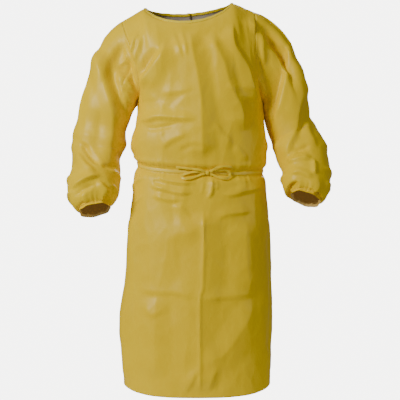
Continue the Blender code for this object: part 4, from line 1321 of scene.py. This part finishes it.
@functools.cache
def thread():
    """Polyester thread: a slight twist on each stitch."""
    finish = Finish("thread", 0.5)
    twist = finish.noise(2600.0, 1.0)
    deep = tuple(channel * 0.8 for channel in tint("thread")[:3]) + (1.0,)
    finish.set(finish.shader.inputs["Base Color"], finish.mixed(twist, deep, tint("thread")))
    finish.relief(twist * 0.05)
    return finish.material


def studio_finish(name, colour):
    """Seamless studio paper."""
    finish = Finish(name, 0.9)
    fibre = finish.noise(30.0, 2.0)
    dull = tuple(channel * 0.985 for channel in colour[:3]) + (1.0,)
    finish.set(finish.shader.inputs["Base Color"], finish.mixed(fibre, dull, tuple(colour)))
    return finish.material


# ---------------------------------------------------------------- what a user would change


def length(name, description, default):
    return bpy.props.FloatProperty(
        name=name, description=description, default=default, min=0.0, unit="LENGTH", precision=4
    )


def colour(name, description, default):
    return bpy.props.FloatVectorProperty(
        name=name, description=description, default=default, size=4, min=0, max=1, subtype="COLOR"
    )


class GownSizes(bpy.types.PropertyGroup):
    film_thickness: length("Film", "Thickness of the film laminate", 0.0006)
    binding_thickness: length("Binding", "Thickness of the neck binding's strip", 0.0007)
    belt_width: length("Belt width", "Width of the folded belt", 0.0114)
    belt_thickness: length("Belt thickness", "Thickness of the folded belt", 0.0020)
    bow_width: length("Bow width", "Width of the bow's and neck tie's tape", 0.0078)
    bow_thickness: length("Bow thickness", "Thickness of the bow's and neck tie's tape", 0.0019)
    stitch_pitch: length("Stitch pitch", "From one stitch to the next", 0.0036)
    stitch_width: length("Stitch width", "Half of a stitch's width with its hole", 0.0008)
    stitch_inset: length("Stitch inset", "From a seam to the row of stitches beside it", 0.0045)
    floor_gap: length("Floor gap", "From the hem to the floor", 0.25)


class GownColours(bpy.types.PropertyGroup):
    film: colour("Film", "Film where it is brightest", (0.93, 0.66, 0.0, 1))
    film_deep: colour("Film, deep", "Film where it is deepest", (0.86, 0.58, 0.0, 1))
    film_crease: colour("Film, creased", "Film along its small creases", (0.95, 0.74, 0.01, 1))
    inside: colour("Inside", "Inner side of the body", (0.50, 0.44, 0.36, 1))
    inside_deep: colour("Inside, deep", "Inner side of the body where it is deepest", (0.42, 0.36, 0.29, 1))
    # The sleeve's inner colours are warmer and brighter than the body's: painted light coming through the
    # thin film.
    sleeve_inside_painted_light: colour("Sleeve inside", "Inner side of a sleeve", (0.66, 0.45, 0.13, 1))
    sleeve_inside_painted_light_deep: colour(
        "Sleeve inside, deep", "Inner side of a sleeve where it is deepest", (0.54, 0.36, 0.09, 1)
    )
    binding: colour("Binding", "Neck binding", (0.95, 0.78, 0.03, 1))
    tie: colour("Tie", "Belt, bow and neck tie", (0.92, 0.72, 0.02, 1))
    thread: colour("Thread", "Stitches", (0.93, 0.76, 0.16, 1))
    studio: colour("Studio", "Floor and backdrop", (0.93, 0.93, 0.93, 1))


# ---------------------------------------------------------------- operators


class GOWN_OT_front(bpy.types.Operator):
    """Lays the front panel, cut in one piece from hem to neck"""

    bl_idname = "gown.front"
    bl_label = "Front panel"

    def execute(self, context):
        made = film_sheet("front", ("first", "last"))
        return {"FINISHED"}


class GOWN_OT_backs(bpy.types.Operator):
    """Lays the two back panels, lapped left over right"""

    bl_idname = "gown.backs"
    bl_label = "Back panels"

    def execute(self, context):
        for name in ("back_right", "back_left"):
            made = film_sheet(name, ("first", "last"))
        return {"FINISHED"}


class GOWN_OT_sleeves(bpy.types.Operator):
    """Lays both sleeves, from armhole to cuff"""

    bl_idname = "gown.sleeves"
    bl_label = "Sleeves"

    def execute(self, context):
        for name, panel in (("sleeve_right", "back_right"), ("sleeve_left", "back_left")):
            made = film_sheet(name, ("bottom", "first", "last"), closed=True)
        return {"FINISHED"}


class GOWN_OT_cuffs(bpy.types.Operator):
    """Adds the elastic hems of the sleeves"""

    bl_idname = "gown.cuffs"
    bl_label = "Cuffs"

    def execute(self, context):
        for wearer_side in ("right", "left"):
            made = film_sheet("cuff_" + wearer_side, ("bottom",), closed=True)
        return {"FINISHED"}


class GOWN_OT_binding(bpy.types.Operator):
    """Folds the binding over the neck's edge and stitches it"""

    bl_idname = "gown.binding"
    bl_label = "Neck binding"

    def execute(self, context):
        sizes = context.scene.gown_sizes
        edge, out, up = neck_line()
        outer = BINDING_GAP + sizes.binding_thickness
        inner = -outer - sizes.film_thickness
        middle, half = (outer + inner) / 2, (outer - inner) / 2
        turn = np.linspace(0, math.pi, BINDING_TURNS)
        legs = np.linspace(-BINDING_LEG, BINDING_RISE - half, 6)[:-1]
        away = np.concatenate([np.full(5, outer), middle + half * np.cos(turn), np.full(5, inner)])
        high = np.concatenate([legs, BINDING_RISE - half + half * np.sin(turn), legs[::-1]])
        run = running(edge[:, None], 0)
        pucker = 0.00022 * np.cos(run * 900) + 0.0003 * np.cos(run * 330 + 1)
        away = away + pucker * np.exp(-(((high + 0.002) / 0.003) ** 2)) * np.sign(away - middle)
        high = high + 0.0004 * np.cos(run * 150)
        points = edge[:, None] + out[:, None] * away[..., None] + up[:, None] * high[..., None]
        outward = out[:, None] * np.sign(away - middle)[..., None] + up[:, None] * 0.2
        cut = np.stack(np.broadcast_arrays(np.full(away.shape, 1.0), run), axis=-1)
        bm = grid_mesh(points, outward, cut)
        made = piece("gown_neck_binding", bm, (binding_finish(),), ("neck_binding",))
        add_thickness(made, sizes.binding_thickness)
        self.stitch(edge, out, up, outer)
        return {"FINISHED"}

    def stitch(self, edge, out, up, outer):
        bm = bmesh.new()
        way = np.gradient(edge, axis=0)
        line = edge + out * (outer + 0.0002) - up * (BINDING_LEG - 0.0016)
        add_stitches(bm, line, way, out, bpy.context.scene.gown_sizes.stitch_pitch, 0.0024, 0.00038)
        piece("gown_neck_stitches", bm, (thread(),), ("neck_binding",))


class GOWN_OT_belt(bpy.types.Operator):
    """Lays the folded belt in its groove, once round"""

    bl_idname = "gown.belt"
    bl_label = "Belt"

    def execute(self, context):
        sizes = context.scene.gown_sizes
        line, out, up = belt_run()
        run = running(line[:, None], 0)[:, 0]
        wander = 0.0007 * np.sin(run * 31) + 0.0004 * np.sin(run * 83 + 2)
        line = line + up * wander[:, None] + out * TAPE_GAP
        roll = 0.10 * np.sin(run * 23 + 1)
        bm = tape_bmesh(line, up, out, sizes.belt_width, sizes.belt_thickness, roll)
        made = piece("gown_belt", bm, (tie_finish(),), ("belt",))
        return {"FINISHED"}


class GOWN_OT_bow(bpy.types.Operator):
    """Ties the bow at the front: a knot, two loops and two ends"""

    bl_idname = "gown.bow"
    bl_label = "Bow"

    def execute(self, context):
        sizes = context.scene.gown_sizes
        place, out, _ = knot_place()
        centre = place + out * (KNOT_HALF[1] + 0.0008)
        bm = knot_bmesh(centre, out, KNOT_HALF)
        piece("gown_bow_knot", bm, (tie_finish(),), ("bow_knot",))
        surface = surface_y(form()[0]["front"], "front")
        for name, route in BOW.items():
            bm = hanging_tape(route, place, surface, "front", sizes.bow_width, sizes.bow_thickness)
            made = piece("gown_" + name, bm, (tie_finish(),), (name,))
        return {"FINISHED"}


class GOWN_OT_neck_tie(bpy.types.Operator):
    """Ties the neck at the back: a knot with two hanging ends"""

    bl_idname = "gown.neck_tie"
    bl_label = "Neck tie"

    def execute(self, context):
        sizes = context.scene.gown_sizes
        grids, ways = form()
        ends = np.array([grids["back_right"][-1, -1], grids["back_left"][-1, 0]])
        out = unit(ways["back_right"][-1, -1] + ways["back_left"][-1, 0])
        centre = ends.mean(axis=0) + out * NECK_KNOT_OUT
        bm = knot_bmesh(centre, out, NECK_KNOT_HALF)
        piece("gown_neck_knot", bm, (tie_finish(),), ("neck_knot",))
        rows, shares = lower_rows(), armhole_shares()
        whole = body_grid(panel_columns(), "back", rows, shares) + np.array([0, LAP_OUT, 0])
        surface = surface_y(whole, "back")
        for name, route in NECK_TIE.items():
            bm = hanging_tape(route, centre, surface, "back", sizes.bow_width, sizes.bow_thickness)
            made = piece("gown_" + name, bm, (tie_finish(),), (name,))
        return {"FINISHED"}


class GOWN_OT_stage(bpy.types.Operator):
    """Sets a pale seamless floor, soft studio light and the camera"""

    bl_idname = "gown.stage"
    bl_label = "Stage"

    def execute(self, context):
        self.floor(context.scene)
        self.light(context.scene)
        self.camera(context.scene)
        return {"FINISHED"}

    def floor(self, scene):
        bm = bmesh.new()
        bmesh.ops.create_circle(bm, cap_ends=True, segments=96, radius=FLOOR_RADIUS)
        bmesh.ops.translate(bm, verts=bm.verts[:], vec=(0, 0, HEM_Z - scene.gown_sizes.floor_gap))
        mesh = bpy.data.meshes.new("studio_floor")
        bm.to_mesh(mesh)
        bm.free()
        mesh.materials.append(studio_finish("studio_floor", scene.gown_colours.studio))
        board = bpy.data.objects.new("studio_floor", mesh)
        scene.collection.objects.link(board)

    def light(self, scene):
        world = bpy.data.worlds.new("studio")
        world.use_nodes = True
        nodes, links = world.node_tree.nodes, world.node_tree.links
        nodes["Background"].inputs["Color"].default_value = (1.0, 0.99, 0.97, 1.0)
        seen_directly = nodes.new("ShaderNodeLightPath").outputs["Is Camera Ray"]
        strength = nodes.new("ShaderNodeMath")
        strength.operation = "MULTIPLY_ADD"
        links.new(seen_directly, strength.inputs[0])
        strength.inputs[1].default_value = BACKDROP_LIGHT - ROOM_LIGHT
        strength.inputs[2].default_value = ROOM_LIGHT
        links.new(strength.outputs[0], nodes["Background"].inputs["Strength"])
        scene.world = world
        for name, place, aim, size, watts in LIGHTS:
            lamp = bpy.data.lights.new(name, "AREA")
            lamp.shape, lamp.size, lamp.energy = "SQUARE", size, watts
            lamp.color = LAMP_COLOUR
            holder = bpy.data.objects.new(name, lamp)
            holder.location = place
            way = Vector(aim) - Vector(place)
            holder.rotation_euler = way.to_track_quat("-Z", "Y").to_euler()
            scene.collection.objects.link(holder)

    def camera(self, scene):
        data = bpy.data.cameras.new("camera")
        data.lens, data.sensor_width = EYE_LENS, SENSOR
        holder = bpy.data.objects.new("camera", data)
        holder.location = EYE
        holder.rotation_euler = (math.pi / 2, 0, 0)
        scene.collection.objects.link(holder)
        scene.camera = holder


class GOWN_PT_panel(bpy.types.Panel):
    """Sizes, colours and the steps that build the gown"""

    bl_idname = "GOWN_PT_panel"
    bl_label = "Chemical protective gown"
    bl_space_type = "VIEW_3D"
    bl_region_type = "UI"
    bl_category = "Gown"

    def draw(self, context):
        for group in (context.scene.gown_sizes, context.scene.gown_colours):
            box = self.layout.box()
            for name in group.__annotations__:
                box.prop(group, name)
        for step in STEPS:
            self.layout.operator(step.bl_idname)


STEPS = (
    GOWN_OT_front,
    GOWN_OT_backs,
    GOWN_OT_sleeves,
    GOWN_OT_cuffs,
    GOWN_OT_binding,
    GOWN_OT_belt,
    GOWN_OT_bow,
    GOWN_OT_neck_tie,
    GOWN_OT_stage,
)
CLASSES = (GownSizes, GownColours, *STEPS, GOWN_PT_panel)


def register():
    for item in CLASSES:
        bpy.utils.register_class(item)
    bpy.types.Scene.gown_sizes = bpy.props.PointerProperty(type=GownSizes)
    bpy.types.Scene.gown_colours = bpy.props.PointerProperty(type=GownColours)


def unregister():
    del bpy.types.Scene.gown_sizes
    del bpy.types.Scene.gown_colours
    for item in reversed(CLASSES):
        bpy.utils.unregister_class(item)


def main():
    register()
    for step in STEPS:
        group, name = step.bl_idname.split(".")
        getattr(getattr(bpy.ops, group), name)()
    bpy.context.view_layer.update()


if __name__ == "__main__":
    main()
